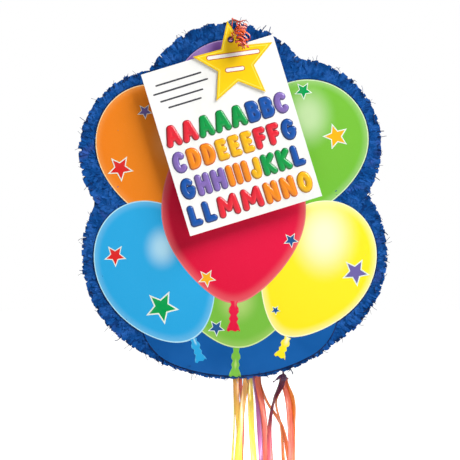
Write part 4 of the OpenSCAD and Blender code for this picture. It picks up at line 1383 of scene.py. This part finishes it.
def wound(middle, radius, height, turns):
    """A binding wound round an upright axis: its radius swells towards the middle as a half sine
    and rises over each turn as a bent sine that climbs as it goes round, and both ends close."""
    rows, sides = 36, 28
    t = np.linspace(0, 1, rows)[:, None]
    a = np.linspace(0, 2 * np.pi, sides, endpoint=False)[None]
    wave = np.abs(np.sin(np.pi * (turns * t + a / (2 * np.pi))))
    close = np.sqrt(np.clip(1 - (2 * t - 1) ** 8, 0.05, 1))
    r = radius * (0.72 + 0.16 * np.sin(np.pi * t) + 0.12 * wave) * close
    points = np.stack(np.broadcast_arrays(middle[0] + r * np.cos(a), middle[1] + r * np.sin(a),
                                          middle[2] + (t - 0.5) * height), -1)
    cap = np.arange(sides)[None]
    last = (rows - 1) * sides
    uv = np.stack(np.broadcast_arrays(t * turns % 1, a / 3), -1)
    return shape(points, [grid_quads(rows, sides, True)[:, ::-1], cap[:, ::-1], cap + last], uv)


def curl_shapes():
    """Curled film: helices whose radius and pitch drift, laid side by side round the bunch's middle,
    each turned about the front and back axis, with two open loops at the top."""
    rng = np.random.default_rng(SEED + 3)
    shapes = []
    for i in range(5):
        n = 90
        s = np.linspace(0, 1, n)
        a = 2 * np.pi * ((2.1 + 0.3 * (i % 3)) * s + i / 5)
        r = (3.2 + 3.0 * np.sin(np.pi * s)) * (0.8 + 0.4 * rng.random())
        x = CURLS[0] + (i - 2) * 1.8 + r * np.cos(a) - 3 * (1 - s) ** 3
        y = CURLS[1] + 0.85 * r * np.sin(a)
        z = CURLS[2] + 12.5 - 29 * s + 2.2 * np.sin(a * 1.3)
        film = ribbon(np.stack([x, y, z], 1), 3.0, 0.2, 25 * np.sin(a), 0.2, across=(0, 0.3, 1))
        film["ink"] = int(i == 3)
        shapes.append(film)
    for x, z, r, slot in ((15, -5.5, 5.2, 1), (10, -6, 4.4, 0), (2.5, -19, 3.2, 0)):
        a = np.linspace(-0.3, 1.5 * np.pi, 50)
        ring = np.stack([x + r * np.cos(a), CURLS[1] + 1.5 * np.sin(a / 2), z + 0.8 * r * np.sin(a)], 1)
        film = ribbon(ring, 2.4, 0.2, 20.0, 0.1, across=(0.3, 1, 0))
        film["ink"] = slot
        shapes.append(film)
    return shapes


class PINATA_OT_stage(bpy.types.Operator):
    """Set the pale floor and backdrop and the soft lights"""
    bl_idname = "pinata.stage"
    bl_label = "Stage"

    def execute(self, context):
        scene = context.scene
        scene.view_settings.view_transform = "Standard"
        rings = np.array([0.001, 0.5, 0.9, 1.6, 3.0, 8.0]) / MM
        spokes = np.arange(0, 360, 7.5)
        flat = polar(spokes) * rings[:, None, None]
        floor = make_mesh("studio_floor", [shape(in_space(flat, 0)[..., [0, 2, 1]] + [0, 0, FLOOR_Z],
                                                 [grid_quads(len(rings), len(spokes), True)])],
                          [floor_material()])
        scene.collection.objects.link(floor)
        world = bpy.data.worlds.new("studio")
        scene.world = world
        world.use_nodes = True
        tree = world.node_tree
        seen = add(tree, "LightPath").outputs["Is Camera Ray"]
        glow = add(tree, "MapRange", {0: seen, 3: WORLD_GLOW, 4: 1.0}).outputs[0]
        tree.nodes["Background"].inputs[0].default_value = (1, 1, 1, 1)
        tree.links.new(glow, tree.nodes["Background"].inputs[1])
        for name, place, size, power, height, spread in LIGHTS:
            data = bpy.data.lights.new(name, "AREA")
            data.size = size
            data.energy = power
            data.spread = np.radians(spread)
            light = bpy.data.objects.new(name, data)
            light.location = place
            toward = np.array([0, 0, height]) - place
            flat = np.hypot(toward[0], toward[1])
            swing = np.arctan2(toward[1], toward[0]) - np.pi / 2
            light.rotation_euler = (np.arctan2(flat, -toward[2]), 0, swing)
            scene.collection.objects.link(light)
        return {"FINISHED"}


OPERATORS = [
    PINATA_OT_camera, PINATA_OT_ribbons, PINATA_OT_card, PINATA_OT_border_fringe,
    PINATA_OT_side_fringe, PINATA_OT_back_fringe, PINATA_OT_print, PINATA_OT_sheet,
    PINATA_OT_stickers, PINATA_OT_star, PINATA_OT_tie, PINATA_OT_stage,
]


class PINATA_PT_panel(bpy.types.Panel):
    """Sizes, colours and pieces of the pinata"""
    bl_label = "Pinata"
    bl_idname = "PINATA_PT_panel"
    bl_space_type = "VIEW_3D"
    bl_region_type = "UI"
    bl_category = "Pinata"

    def draw(self, context):
        for group in (context.scene.pinata_sizes, context.scene.pinata_colours):
            box = self.layout.box()
            for name in group.__annotations__:
                box.prop(group, name)
        for operator in OPERATORS:
            self.layout.operator(operator.bl_idname)


CLASSES = [PinataSizes, PinataColours, *OPERATORS, PINATA_PT_panel]


def register():
    """Add the classes, and the settings to the scene."""
    for cls in CLASSES:
        bpy.utils.register_class(cls)
    bpy.types.Scene.pinata_sizes = bpy.props.PointerProperty(type=PinataSizes)
    bpy.types.Scene.pinata_colours = bpy.props.PointerProperty(type=PinataColours)


def unregister():
    """Take the settings and the classes away again."""
    del bpy.types.Scene.pinata_colours
    del bpy.types.Scene.pinata_sizes
    for cls in reversed(CLASSES):
        bpy.utils.unregister_class(cls)


def main():
    """Build every piece in order."""
    register()
    for operator in OPERATORS:
        getattr(bpy.ops.pinata, operator.bl_idname.split(".")[1])()


if __name__ == "__main__":
    main()
